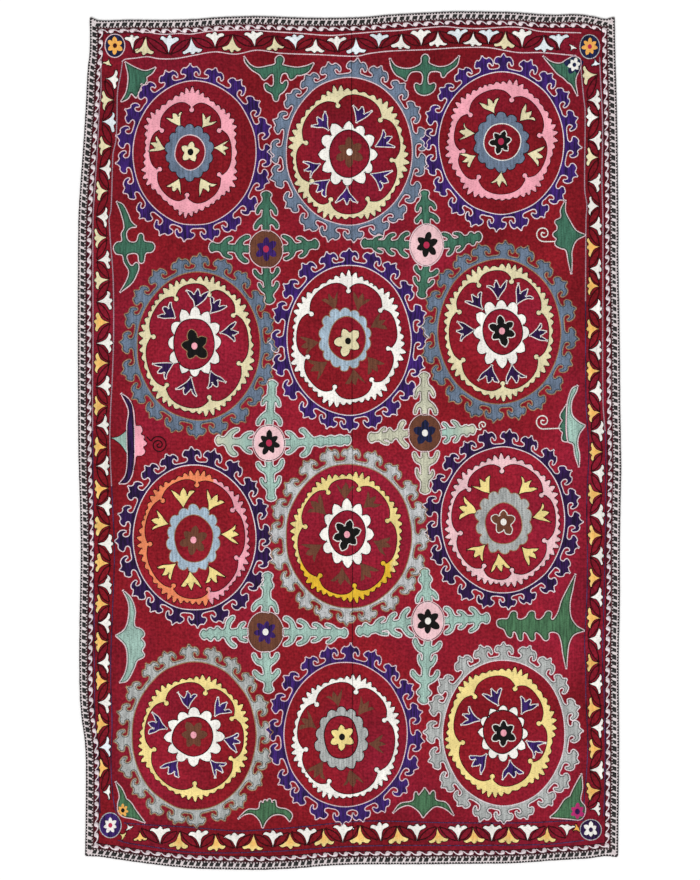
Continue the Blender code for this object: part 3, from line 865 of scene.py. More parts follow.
def spiral(dye, tail, centre, turns, reach, first, kind):
    """A tail that curls into a spiral: first is where the spiral starts, in degrees."""
    count = int(POINTS_A_TURN * turns)
    curl = []
    for k in range(count + 1):
        share = k / count
        angle = math.radians(first + 360 * turns * share)
        out = reach * (1 - share) + 0.8 * share
        curl.append((centre[0] + out * math.sin(angle), centre[1] - out * math.cos(angle)))
    line(dye, flowing([tail] + curl, closed=False), closed=False, kind=kind)


for row in SPIRALS:
    spiral(*row)
print("small flowers", len(LEAF_FLOWERS), "spirals", len(SPIRALS))

# %% [markdown]
# ## The tulip border
# Two lines of chain stitch make a band all round the field. Between them tulips stand by turns, one
# opening towards the middle of the cloth and the next towards its edge, for most of the way a white
# one and a yellow one. Dark almond leaves run in a zigzag from one tulip's foot to the next one's.

# %% Border lines and rosettes
OUTER_LINE = {
    "left": [(58, 101), (75, 101), (90, 101), (105, 99.5), (120, 98.7), (140, 97.8), (155, 97), (185, 95),
             (220, 93), (340, 93), (400, 92.5), (480, 93), (560, 93.6), (640, 94.2), (700, 94.6),
             (740, 95.6), (770, 98), (800, 99.5), (812, 100)],
    "right": [(58, 599.8), (75, 600.4), (125, 602.7), (180, 602), (220, 603), (400, 603), (440, 605.6),
              (500, 605.4), (530, 605.4), (580, 604.4), (640, 603), (660, 602.6), (690, 604),
              (720, 604.7), (760, 605.2), (790, 604.7), (815, 604)],
    "top": [(118, 30.8), (130, 30.2), (150, 32.6), (165, 34.2), (180, 33.2), (190, 34), (210, 31),
            (250, 29.8), (270, 31.3), (300, 33.2), (330, 35.3), (350, 33.8), (380, 31.3), (400, 30.3),
            (410, 29.1), (430, 27.3), (445, 26.3), (460, 27.8), (480, 28.4), (510, 26.8), (525, 27.8),
            (540, 31.2), (580, 32.7)],
    "bottom": [(119, 840.5), (127, 843), (166, 849), (185, 852), (223, 853), (261, 852), (300, 850),
               (338, 847), (389, 845.5), (468, 845.5), (547, 844.5), (567, 842.5), (583, 840.6)],
}
INNER_LINE = {
    "left": [(61, 122.6), (75, 120.5), (85, 118.5), (95, 117.3), (115, 117), (130, 116.5), (140, 116),
             (147, 114.5), (153, 113), (210, 111), (219, 109), (276, 113), (334, 113.6), (372, 112.5),
             (438, 109.8), (515, 113), (553, 114.4), (610, 112.5), (668, 110.6), (726, 112), (764, 111),
             (800, 113.4), (823, 119)],
    "right": [(60, 580.6), (80, 582), (100, 584), (110, 585.2), (190, 584.8), (205, 587), (220, 586),
              (400, 586), (450, 588.9), (500, 586.8), (560, 587.5), (600, 586.8), (640, 584.7),
              (670, 585.7), (700, 586), (740, 587.8), (770, 586.8), (800, 584.2), (818, 583.6)],
    "top": [(125, 59), (135, 58), (148, 56.5), (158, 58.5), (175, 58.5), (192, 55.5), (215, 51.7),
            (236, 54), (257, 50), (280, 53), (319, 54.5), (357, 56), (369, 53.4), (389, 51), (429, 49.4),
            (458, 47.5), (488, 47.5), (518, 52.4), (541, 52.4), (575, 55.4)],
    "bottom": [(125, 823), (146, 824.8), (185, 827), (236, 831), (261, 830), (300, 827), (338, 823),
               (370, 821), (409, 821.8), (448, 822.8), (528, 822.8), (567, 820.8), (583, 820.4)],
}


def side_path(rows, side, start=None, end=None):
    """A border line's points: rows give the place along the side and the place across it."""
    first, last = rows[0][0] if start is None else start, rows[-1][0] if end is None else end
    count = max(2, round((last - first) / 4))
    made = []
    for k in range(count + 1):
        along = first + (last - first) * k / count
        aside = smooth_between(rows, along)
        made.append((aside, along) if side in ("left", "right") else (along, aside))
    return made


# Where the light thread gives out, and dark thread takes over, down each side
DARK_FROM = {"left": (430, 485), "right": (430, 300)}
INNER_TOP_START = (122.6, 61)
for side in ("left", "right"):
    for rows, dark_from in zip((OUTER_LINE[side], INNER_LINE[side]), DARK_FROM[side]):
        line("dusk", side_path(rows, side, end=dark_from), closed=False, kind="fine_light")
        line("plum", side_path(rows, side, start=dark_from), closed=False, kind="fine")
line("blush", side_path(OUTER_LINE["top"], "top"), closed=False, kind="fine_light")
line("blush", [INNER_TOP_START] + side_path(INNER_LINE["top"], "top"), closed=False, kind="fine_light")
line("plum", side_path(OUTER_LINE["bottom"], "bottom"), closed=False, kind="fine")
line("plum", side_path(INNER_LINE["bottom"], "bottom"), closed=False, kind="fine")

# Corner rosettes: box, ground dye, petals, petal dye, dot
CORNERS = [
    ((105, 34, 124.8, 57.2), "navy", "blush", (6, 7.6, 0), "amber", "maroon"),
    ((580, 34.5, 599.6, 58.5), "navy", "mist", (7, 7.4, 0), "amber", "cherry"),
    ((99.6, 812.8, 121, 837.8), "violet", "mist", (7, 7.2, 0), "snow", "cherry"),
    ((580.4, 819.6, 601.4, 840), "aubergine", "mist", (6, 7.0, 0), "snow", "aubergine"),
]
for box, ground, outline, petals, petal_dye, dot in CORNERS:
    oval = flowing([ring(box, d, 1.0 + hand.uniform(-0.02, 0.02)) for d in range(0, 360, 30)])
    fill(ground, oval)
    line(outline, oval, kind="fine_light")
    flower(ring(box, 0, 0), petals, (petal_dye, None), dot, rise=0.0003, dot_size=2.2)
print("corner rosettes", len(CORNERS))

# %% Tulips in the band
# The tulips along each side: a letter for each one's thread (w snow, i ice, c cream, a straw turning
# to amber), and its place down the side or across it, in picture units
BAND = {
    "left": ("wcicwcwcwcwawawawawawawawawawawaiaw", [
        79, 100, 122, 146, 169, 191, 217, 238, 260, 280, 301, 322, 343, 363, 386, 406, 425, 447,
        466, 489, 506, 526, 544, 563, 585, 604, 623, 642, 663, 681, 703, 724, 747, 768, 792]),
    "right": ("cwwwcwwwawawawawawawawawawawawawawaw", [
        75, 100, 117, 140, 157, 182, 206, 226, 247, 269, 286, 309, 329, 350, 371, 391, 413, 431,
        452, 473, 494, 515, 535, 556, 578, 597, 618, 639, 663, 684, 708, 728, 749, 770, 791, 809]),
    "top": ("wciiwcwciwwiiwwwiwicwii", [
        132, 145, 169, 192, 215, 232, 254, 275, 295, 315, 337, 356, 379, 401, 421, 438, 458, 473,
        489, 505, 522, 544, 559]),
    "bottom": ("awawawawawawawawawawawaw", [
        140, 160, 179, 199, 216, 235, 253, 273, 290, 307, 324, 343, 360, 380, 398, 417, 438, 458,
        474, 492, 509, 528, 547, 567]),
}
THREADS = {"w": "snow", "i": "ice", "c": "cream", "a": "straw_to_amber"}
# Which way the white one's petals face: 1 towards the middle of the cloth, -1 towards its edge.
# The second number is 1 where the row's first tulip faces the other way.
FACING = {"left": (1, 0), "right": (-1, 1), "top": (-1, 0), "bottom": (1, 1)}
MIDDLEWARD = {"left": 90, "right": 270, "top": 180, "bottom": 0}

# Towards the petals from the tip, and along the band
BAND_TULIP = [
    (-7.0, 0.0, 1), (-3.8, -1.2), (-1.0, -2.6), (1.2, -4.8), (2.7, -7.6), (3.2, -10.2, 1), (5.4, -8.3),
    (5.5, -5.0), (4.5, -2.7, 1), (6.2, -1.6), (7.0, 0.2), (6.0, 1.9), (4.4, 2.8, 1), (5.3, 5.3),
    (5.7, 8.4), (3.6, 10.2, 1), (2.6, 7.4), (1.1, 4.4), (-0.9, 2.4), (-3.6, 1.3),
]
BAND_TULIP_TALL = 14.0
TULIP_FILLS = 0.74  # share of the band's width that a tulip takes up
TULIP_OFF_MIDDLE = 0.08  # share of the band's width, towards the side that it opens to
FOOT_NEAR_EDGE, FOOT_NEAR_MIDDLE = 0.22, 0.80  # where a tulip's foot is, as a share of the band
FOOT_HALF = 1.6  # picture units
AMBER_REACH, AMBER_REACH_BOTTOM = 12.0, 8.0  # picture units that the amber runs out from a tulip
# The tulips next to a corner that are smaller than the rest
SMALL = {("top", 132): 0.7, ("bottom", 140): 0.7, ("bottom", 567): 0.8, ("left", 792): 0.8,
         ("right", 809): 0.7}


def band_spot(side, along, share):
    """A point in the band: share 0 at the outer line and 1 at the inner one."""
    outer = smooth_between(OUTER_LINE[side], along)
    inner = smooth_between(INNER_LINE[side], along)
    aside = outer + (inner - outer) * share
    return (aside, along) if side in ("left", "right") else (along, aside)


for side, (threads, places) in BAND.items():
    sign, odd = FACING[side]
    feet = []
    for k, (along, thread) in enumerate(zip(places, threads)):
        faces = sign * (-1 if (k + odd) % 2 else 1)
        band = abs(smooth_between(INNER_LINE[side], along) - smooth_between(OUTER_LINE[side], along))
        small = SMALL.get((side, along), 1.0)
        tall = small * band * TULIP_FILLS / BAND_TULIP_TALL * hand.uniform(0.93, 1.06)
        wide = small * hand.uniform(0.92, 1.06)
        degrees = MIDDLEWARD[side] + (0 if faces > 0 else 180) + hand.uniform(-7, 7)
        shape = [(b, a, *rest) for a, b, *rest in unsteady(BAND_TULIP, 0.4)]
        spot = band_spot(side, along, 0.5 + TULIP_OFF_MIDDLE * faces)
        loop = flowing(turned(shape, spot, degrees, (wide, tall)))
        reach = AMBER_REACH_BOTTOM if side == "bottom" else AMBER_REACH
        fade = (lambda p, s=spot, r=reach: max(0.0, 1 - math.hypot(p[0] - s[0], p[1] - s[1]) / r))
        fill(THREADS[thread], loop, fade=fade if thread == "a" else None)
        line("soot", loop, kind="thin")
        feet.append((along, FOOT_NEAR_EDGE if faces > 0 else FOOT_NEAR_MIDDLE))
    for (a, share_a), (b, share_b) in zip(feet, feet[1:]):
        start = band_spot(side, a + FOOT_HALF, share_a)
        end = band_spot(side, b - FOOT_HALF, share_b)
        run = math.hypot(end[0] - start[0], end[1] - start[1])
        degrees = math.degrees(math.atan2(end[0] - start[0], start[1] - end[1]))
        almond = [(0, 0, 1), (2.6, run * 0.3), (2.7, run * 0.7), (0, run, 1), (-2.7, run * 0.7),
                  (-2.6, run * 0.3)]
        line("maroon", flowing(turned(unsteady(almond, 0.3), start, degrees)))
print("tulips in the band", sum(len(places) for _, places in BAND.values()))

# %% Buds, and the strip under the scroll
# Small buds that fill the ends: centre, degrees that they point to, size, dye
BUDS = [
    ((108, 62), 200, 0.50, "cream"), ((595.6, 62.5), 170, 0.50, "ice"), ((572.2, 48), 30, 0.42, "snow"),
    ((128.6, 827), 150, 0.42, "snow"), ((122.4, 835.4), 120, 0.42, "straw"),
    ((576, 829), 60, 0.5, "amber"),
]
for spot, degrees, size, dye in BUDS:
    loop = flowing(turned([(b, a, *rest) for a, b, *rest in BAND_TULIP], spot, degrees, (size, size)))
    fill(dye, loop)
    line("soot", loop, kind="thin")

STEPS_A_SIDE = 120


def round_the_edge(inward):
    """A loop all the way round at a distance in metres from the textile's outline."""
    steps = np.linspace(0, 1, STEPS_A_SIDE + 1)[:-1]
    near, far = np.zeros(STEPS_A_SIDE), np.ones(STEPS_A_SIDE)
    aside, up = inward / WIDTH, inward / LENGTH
    across = np.concatenate([steps, far, 1 - steps, near]) * (1 - 2 * aside) + aside
    down = np.concatenate([near, steps, far, 1 - steps]) * (1 - 2 * up) + up
    x, y = place(across, down)
    return list(zip((x / UNIT + MIDDLE_X).tolist(), (MIDDLE_Y - y / UNIT).tolist()))


# The dark strip that the running scroll lies on
STRIP_OUTER, STRIP_INNER = 0.0236, 0.0362
STRIP_SUNK = 0.0003  # it lies this much lower than the other silk
fill("wine", round_the_edge(STRIP_OUTER), [round_the_edge(STRIP_INNER)], rise=-STRIP_SUNK)
print("buds", len(BUDS), "fills in all", len(fills), "lines in all", len(lines))

# %% [markdown]
# ## From loops to silk
# Laid silk stands a little proud of the cloth and lies just as the cloth does, over its ridges and
# into its seam. So each fill is triangulated with its holes, with extra points inside so that it can
# bend, then raised by the cloth's own height. It could be one flat plate per motif, but then the
# ridges would cut through it.

# %% Raised silk plates
SILK_RISE, SILK_SUNK = 0.00060, 0.00040
# Picture units: the grid of inner points, and how far they keep from the edge
INNER_GRID, KEEP_OFF = 3.6, 1.4
SHARP_FROM = math.radians(40)


def in_scene(name, data):
    """A new object for some data, linked to the scene."""
    made = bpy.data.objects.new(name, data)
    bpy.context.scene.collection.objects.link(made)
    return made


def triangles_of(loops):
    """Triangles of a loop with holes, in picture units, with points inside it on a coarse grid."""
    spots, faces = [], []
    for loop in loops:
        faces.append(list(range(len(spots), len(spots) + len(loop))))
        spots += loop
    xs, ys = [p[0] for p in loops[0]], [p[1] for p in loops[0]]
    seam = MIDDLE_X + seam_x(0) / UNIT
    if min(xs) < seam + 4 and max(xs) > seam - 4:
        for y in np.arange(min(ys) + 0.7, max(ys), 1.6):
            middle = MIDDLE_X + seam_x((MIDDLE_Y - y) * UNIT) / UNIT
            spots += [(middle + off, y) for off in (-2.0, -1.0, 0.0, 1.0, 2.0)]
    if max(xs) - min(xs) > 2 * INNER_GRID and max(ys) - min(ys) > 2 * INNER_GRID:
        edge = np.array(spots)
        for x in np.arange(min(xs) + INNER_GRID / 2, max(xs), INNER_GRID):
            for y in np.arange(min(ys) + INNER_GRID / 2, max(ys), INNER_GRID):
                if np.min(np.hypot(edge[:, 0] - x, edge[:, 1] - y)) > KEEP_OFF:
                    spots.append((x, y))
    made = delaunay_2d_cdt([Vector(p) for p in spots], [], faces, 2, 1e-4)
    return [tuple(v) for v in made[0]], [tuple(f) for f in made[2]]


def silk_plate(name, patches):
    """One mesh of closed plates from the fills of one dye."""
    verts, faces, tone, fades = [], [], [], []
    for patch in patches:
        flat, triangles = triangles_of(patch["loops"])
        used = sorted({i for t in triangles for i in t})
        number = {old: new for new, old in enumerate(used)}
        spots = to_cloth([flat[i] for i in used])
        top = cloth_top(spots[:, 0], spots[:, 1]) + SILK_RISE + patch["rise"]
        base, count = len(verts), len(used)
        verts += list(zip(spots[:, 0], spots[:, 1], top))
        under = top - SILK_RISE - patch["rise"] - SILK_SUNK
        verts += list(zip(spots[:, 0], spots[:, 1], under))
        edges = {}
        for triangle in triangles:
            a, b, c = (number[i] for i in triangle)
            (ax, ay), (bx, by), (cx, cy) = spots[a], spots[b], spots[c]
            if (bx - ax) * (cy - ay) - (cx - ax) * (by - ay) < 0:
                b, c = c, b
            faces.append((base + a, base + b, base + c))
            faces.append((base + count + a, base + count + c, base + count + b))
            for pair in ((a, b), (b, c), (c, a)):
                edges[pair] = edges.get(pair, 0) + 1
        for a, b in edges:
            if (b, a) not in edges:
                faces.append((base + b, base + a, base + count + a, base + count + b))
        share = [patch["fade"](flat[i]) if patch["fade"] else 0.0 for i in used]
        tone += [patch["tone"]] * (2 * count)
        fades += share + share
    mesh = bpy.data.meshes.new(name)
    mesh.from_pydata(verts, [], faces)
    mesh.attributes.new("tone", "FLOAT", "POINT").data.foreach_set("value", tone)
    mesh.attributes.new("fade", "FLOAT", "POINT").data.foreach_set("value", fades)
    mesh.shade_smooth()
    mesh.set_sharp_from_angle(angle=SHARP_FROM)
    return in_scene(name, mesh)


embroidery = {}
for dye in sorted({f["dye"] for f in fills}):
    embroidery[f"silk_{dye}"] = (silk_plate(f"silk_{dye}", [f for f in fills if f["dye"] == dye]), dye)
count = sum(len(p.data.polygons) for p, _ in embroidery.values())
print("silk plates", len(embroidery), "pieces", count, "faces")

# %% [markdown]
# ## Chain stitch
# Chain stitch is a row of small loops, each caught by the next, and it draws every outline here. A
# Geometry Nodes tree walks along each line and sets one short, rounded link per stitch, turned to
# the line's direction and a little uneven, as by hand. Real links are about 3 mm long; these are
# longer, since finer ones would not show from above and would be far too many.

# %% Node helper and the stitch tree


def add(tree, kind, inputs=None, **settings):
    """Adds a node with its settings; inputs are values or sockets to link, by name or number."""
    node = tree.nodes.new(kind)
    for name, value in settings.items():
        setattr(node, name, value)
    for key, value in (inputs or {}).items():
        if isinstance(value, bpy.types.NodeSocket):
            tree.links.new(value, node.inputs[key])
        else:
            node.inputs[key].default_value = value
    return node


def row_tree(name, build_shape, extras):
    """A tree that sets a small shape at even steps along lines. build_shape adds the nodes that
    make the shape and returns its socket; extras are (input name, socket kind, value)."""
    tree = bpy.data.node_groups.new(name, "GeometryNodeTree")
    tree.interface.new_socket("Geometry", in_out="INPUT", socket_type="NodeSocketGeometry")
    for label, kind, value in extras:
        socket = tree.interface.new_socket(label, in_out="INPUT", socket_type=kind)
        if value is not None:
            socket.default_value = value
    tree.interface.new_socket("Geometry", in_out="OUTPUT", socket_type="NodeSocketGeometry")
    start = add(tree, "NodeGroupInput").outputs
    curves = add(tree, "GeometryNodeMeshToCurve", {"Mesh": start["Geometry"]})
    steps = add(tree, "GeometryNodeResampleCurve",
                {"Curve": curves.outputs[0], "Length": start["Step"]}, mode="LENGTH")
    tangent = add(tree, "GeometryNodeInputTangent")
    facing = add(tree, "FunctionNodeAlignRotationToVector", {"Vector": tangent.outputs[0]},
                 axis="X", pivot_axis="Z")
    uneven = add(tree, "FunctionNodeRandomValue",
                 {"Min": (0.88, 0.88, 0.85), "Max": (1.1, 1.12, 1.15), "Seed": start["Seed"]},
                 data_type="FLOAT_VECTOR")
    shape = build_shape(tree, start)
    placed = add(tree, "GeometryNodeInstanceOnPoints", {
        "Points": steps.outputs[0], "Instance": shape, "Rotation": facing.outputs[0],
        "Scale": uneven.outputs[0]})
    real = add(tree, "GeometryNodeRealizeInstances", {"Geometry": placed.outputs[0]})
    smooth = add(tree, "GeometryNodeSetShadeSmooth", {"Geometry": real.outputs[0]})
    dyed = add(tree, "GeometryNodeSetMaterial",
               {"Geometry": smooth.outputs[0], "Material": start["Material"]})
    add(tree, "NodeGroupOutput", {"Geometry": dyed.outputs[0]})
    return tree


def link_shape(tree, start):
    """A grain of twelve triangles, pointed at both ends, with its ridge on top."""
    grain = add(tree, "GeometryNodeMeshUVSphere", {"Segments": 3, "Rings": 3, "Radius": 1.0})
    size = add(tree, "ShaderNodeCombineXYZ",
               {0: start["Link height"], 1: start["Link half width"], 2: start["Link half length"]})
    laid = add(tree, "GeometryNodeTransform", {
        "Geometry": grain.outputs[0], "Scale": size.outputs[0], "Rotation": (0, -math.pi / 2, 0)})
    return laid.outputs[0]


COMMON = [("Step", "NodeSocketFloat", 0.005), ("Seed", "NodeSocketInt", 1),
          ("Material", "NodeSocketMaterial", None)]
chain_stitch = row_tree("chain_stitch", link_shape, COMMON + [
    ("Link height", "NodeSocketFloat", 0.0008), ("Link half width", "NodeSocketFloat", 0.002),
    ("Link half length", "NodeSocketFloat", 0.0036)])
print("nodes in the stitch tree", len(chain_stitch.nodes))

# %% From paths to pieces


def rows_mesh(name, tree, paths, values):
    """Runs a row tree over paths, (points in metres, closed), and returns its mesh as a piece."""
    verts, edges = [], []
    for points, closed in paths:
        base = len(verts)
        verts += [(x, y, 0.0) for x, y in points]
        edges += [(base + i, base + i + 1) for i in range(len(points) - 1)]
        if closed:
            edges.append((base + len(points) - 1, base))
    guide = bpy.data.meshes.new(name + "_guide")
    guide.from_pydata(verts, edges, [])
    carrier = in_scene(name + "_guide", guide)
    rule = carrier.modifiers.new("rows", "NODES")
    rule.node_group = tree
    for item in tree.interface.items_tree:
        if item.in_out == "INPUT" and item.name in values:
            rule[item.identifier] = values[item.name]
    made = bpy.data.meshes.new_from_object(
        carrier.evaluated_get(bpy.context.evaluated_depsgraph_get()))
    bpy.data.objects.remove(carrier)
    made.name = name
    return in_scene(name, made)


def laid_on(piece, height_of, above):
    """Raises a flat piece on to what it lies on."""
    spots = np.zeros(len(piece.data.vertices) * 3)
    piece.data.vertices.foreach_get("co", spots)
    spots = spots.reshape(-1, 3)
    spots[:, 2] += height_of(spots[:, 0], spots[:, 1]) + above
    piece.data.vertices.foreach_set("co", spots.ravel())
    piece.data.update()


print("inputs of a row", [name for name, _, _ in COMMON])

# %% [markdown]
# ## Silk, cotton and tape
# Laid floss silk is a satin surface of parallel threads: all the threads run along the cloth's
# length here, crossed by small slanting stitches that tie them down. The eye gets fine streaks from
# the threads, small flecks from the ties, soft gloss and slight changes of shade from lot to lot.
# The pattern reads Object coordinates, so it runs straight through every motif, as the threads do.

# %% The silk material
STREAK_MM = 4.6  # real floss strands are about 1 mm; drawn this coarse so that they show
TIE_MM = 6.0  # the slanting ties, about their real spacing
STREAK_STRETCH, TIE_STRETCH, TIE_SLANT = 13, 0.36, math.radians(-38)
SILK_BAND_MM = 10.0531  # soft rounding of the strands' bundles, coarse so that it shows
LOT_PATCH = 0.05  # metres: patches of one shade in a lot


def new_material(name):
    """A new material, its node tree and its shader."""
    made = bpy.data.materials.new(name)
    made.use_nodes = True
    return made, made.node_tree, made.node_tree.nodes["Principled BSDF"]


def bands_every(millimetres, radians_per_unit=20):
    """The Scale at which a Wave Texture's bands are this far apart along an axis. It turns by 20
    radians per unit, or by 10 where its bands are diagonal."""
    return math.tau / radians_per_unit / (millimetres / 1000)


def silk(name, first, second=None, *, streaks, flecks, dark=False):
    """Laid floss silk in one dye, or two that the fade attribute mixes."""
    made, tree, shader = new_material(name)
    where = add(tree, "ShaderNodeTexCoord").outputs["Object"]
    along = add(tree, "ShaderNodeMapping", {
        "Vector": where, "Scale": (1000 / STREAK_MM, 1000 / (STREAK_MM * STREAK_STRETCH), 1)})
    strand = add(tree, "ShaderNodeTexNoise", {
        "Vector": along.outputs[0], "Scale": 1.0, "Detail": 3.0, "Roughness": 0.65})
    slant = add(tree, "ShaderNodeMapping", {
        "Vector": where, "Rotation": (0, 0, TIE_SLANT),
        "Scale": (1000 / TIE_MM, 1000 / (TIE_MM * TIE_STRETCH), 1)})
    tie = add(tree, "ShaderNodeTexNoise", {
        "Vector": slant.outputs[0], "Scale": 1.0, "Detail": 1.0})
    lot = add(tree, "ShaderNodeTexNoise", {"Vector": where, "Scale": 1 / LOT_PATCH, "Detail": 2.0})
    base = linear(first)
    colour = add(tree, "ShaderNodeRGB")
    colour.outputs[0].default_value = base
    dyed = colour.outputs[0]
    if second:
        fade = add(tree, "ShaderNodeAttribute", attribute_name="fade")
        mixed = add(tree, "ShaderNodeMix", {0: fade.outputs["Fac"], 6: base, 7: linear(second)},
                    data_type="RGBA")
        dyed = mixed.outputs[2]
    tone = add(tree, "ShaderNodeAttribute", attribute_name="tone")
    strand_light = add(tree, "ShaderNodeMapRange", {
        "Value": strand.outputs["Fac"], 1: 0.38, 2: 0.62, 3: 1 - streaks, 4: 1 + streaks * 0.6})
    tie_light = add(tree, "ShaderNodeMapRange", {
        "Value": tie.outputs["Fac"], 1: 0.54, 2: 0.64, 3: 1.0, 4: 1 - flecks})
    lot_light = add(tree, "ShaderNodeMapRange", {
        "Value": lot.outputs["Fac"], 1: 0.36, 2: 0.64, 3: 0.90, 4: 1.07})
    tone_light = add(tree, "ShaderNodeMapRange", {
        "Value": tone.outputs["Fac"], 1: -1.0, 2: 1.0, 3: 0.95, 4: 1.04})
    light = strand_light.outputs[0]
    for other in (tie_light, lot_light, tone_light):
        light = add(tree, "ShaderNodeMath", {0: light, 1: other.outputs[0]},
                    operation="MULTIPLY").outputs[0]
    value = add(tree, "ShaderNodeVectorMath", {0: dyed, "Scale": light}, operation="SCALE")
    tree.links.new(value.outputs[0], shader.inputs["Base Color"])
    thread = add(tree, "ShaderNodeTexWave", {
        "Vector": where, "Scale": bands_every(SILK_BAND_MM), "Distortion": 1.5, "Detail": 1.0},
        bands_direction="X")
    height = add(tree, "ShaderNodeMath", {0: thread.outputs["Fac"], 1: strand.outputs["Fac"]},
                 operation="ADD")
    bump = add(tree, "ShaderNodeBump", {"Height": height.outputs[0], "Strength": 0.5,
                                        "Distance": 0.0004})
    tree.links.new(bump.outputs[0], shader.inputs["Normal"])
    gloss = add(tree, "ShaderNodeMapRange", {
        "Value": strand.outputs["Fac"], 1: 0.3, 2: 0.7, 3: 0.62, 4: 0.48})
    tree.links.new(gloss.outputs[0], shader.inputs["Roughness"])
    shader.inputs["Specular IOR Level"].default_value = 0.12 if dark else 0.3
    shader.inputs["Sheen Weight"].default_value = 0.0 if dark else 0.06
    shader.inputs["Sheen Roughness"].default_value = 0.4
    return made


# How strong the streaks and the flecks are: strong in deep dyes, middling in the greyed ones
DEEP = {"violet", "aubergine", "navy", "leaf", "moss", "walnut", "ink", "soot", "plum", "wine", "maroon"}
GREYED = {"slate", "mist", "sky", "ash", "mint", "tan", "pale"}
EVEN_STREAKS = {"walnut": 0.26, "leaf": 0.42, "moss": 0.42}  # deep dyes that took more evenly
silks = {}
for dye, (hex_colour, _) in DYES.items():
    streaks, flecks = (0.75, 0.35) if dye in DEEP else (0.30, 0.42) if dye in GREYED else (0.10, 0.28)
    silks[dye] = silk("floss_silk_" + dye, hex_colour, streaks=EVEN_STREAKS.get(dye, streaks),
                      flecks=flecks, dark=dye in DEEP)
for blend, (first, second) in BLENDS.items():
    silks[blend] = silk("floss_silk_" + blend, DYES[first][0], DYES[second][0],
                        streaks=0.14, flecks=0.26)
for piece, dye in embroidery.values():
    piece.data.materials.append(silks[dye])
print("silks", len(silks))

# %% Rows of chain stitch, by dye and width
STITCH_KINDS = {
    "thin": {"Step": 0.0060, "Link half width": 0.0018, "Link half length": 0.0054,
             "Link height": 0.0008},
    "fine": {"Step": 0.0062, "Link half width": 0.0023, "Link half length": 0.0046,
             "Link height": 0.0008},
    "fine_light": {"Step": 0.0060, "Link half width": 0.0025, "Link half length": 0.0044,
                   "Link height": 0.0009},
    "line": {"Step": 0.0057, "Link half width": 0.0027, "Link half length": 0.0043,
             "Link height": 0.0010},
}
groups = {}
for row in lines:
    groups.setdefault((row["dye"], row["kind"]), []).append(row)
for (dye, kind), rows in sorted(groups.items()):
    name = f"chain_stitch_{dye}_{kind}"
    paths = [(to_cloth(row["path"]), row["closed"]) for row in rows]
    piece = rows_mesh(name, chain_stitch, paths,
                      {**STITCH_KINDS[kind], "Seed": len(rows), "Material": silks[dye]})
    laid_on(piece, cloth_top, SILK_RISE * 0.8)
    embroidery[name] = (piece, dye)
    print(name, len(piece.data.polygons))

# %% [markdown]
# ## The cotton ground
# Plain-woven cotton, hand-spun, so warp and weft are uneven and the red took unevenly. Each loom
# width is a closed sheet on a grid fine enough for the creases, with columns crowded at the seam.

# %% Closed sheets, and hand-woven cotton


def closed_sheet(name, x, y, top, bottom, material):
    """A closed sheet from grids of places, rows down the cloth and columns across it."""
    rows, columns = x.shape
    count = rows * columns
    verts = np.concatenate([
        np.column_stack([x.ravel(), y.ravel(), top.ravel()]),
        np.column_stack([x.ravel(), y.ravel(), bottom.ravel()])])
    faces = []
    for r in range(rows - 1):
        for c in range(columns - 1):
            a, b = r * columns + c, (r + 1) * columns + c
            faces.append((a, b, b + 1, a + 1))
            faces.append((count + a, count + a + 1, count + b + 1, count + b))
    rim = [(0, c) for c in range(columns - 1)] + [(r, columns - 1) for r in range(rows - 1)]
    rim += [(rows - 1, c) for c in range(columns - 1, 0, -1)] + [(r, 0) for r in range(rows - 1, 0, -1)]
    rim = [r * columns + c for r, c in rim]
    for a, b in zip(rim, rim[1:] + rim[:1]):
        faces.append((a, b, count + b, count + a))
    mesh = bpy.data.meshes.new(name)
    mesh.from_pydata(verts.tolist(), [], faces)
    mesh.materials.append(material)
    mesh.shade_smooth()
    mesh.set_sharp_from_angle(angle=SHARP_FROM)
    return in_scene(name, mesh)


# All in metres. Real threads are about 1 mm apart: warp, weft and weave are drawn this coarse so
# that they show.
THREAD_WIDE, WARP_LONG, WEFT_LONG = 0.004, 0.12, 0.10
UPTAKE_PATCH, GRAIN_PATCH, BATH_PATCH = 0.16, 0.0065, 0.45  # how the dye took
WEAVE_MM = 7.53982


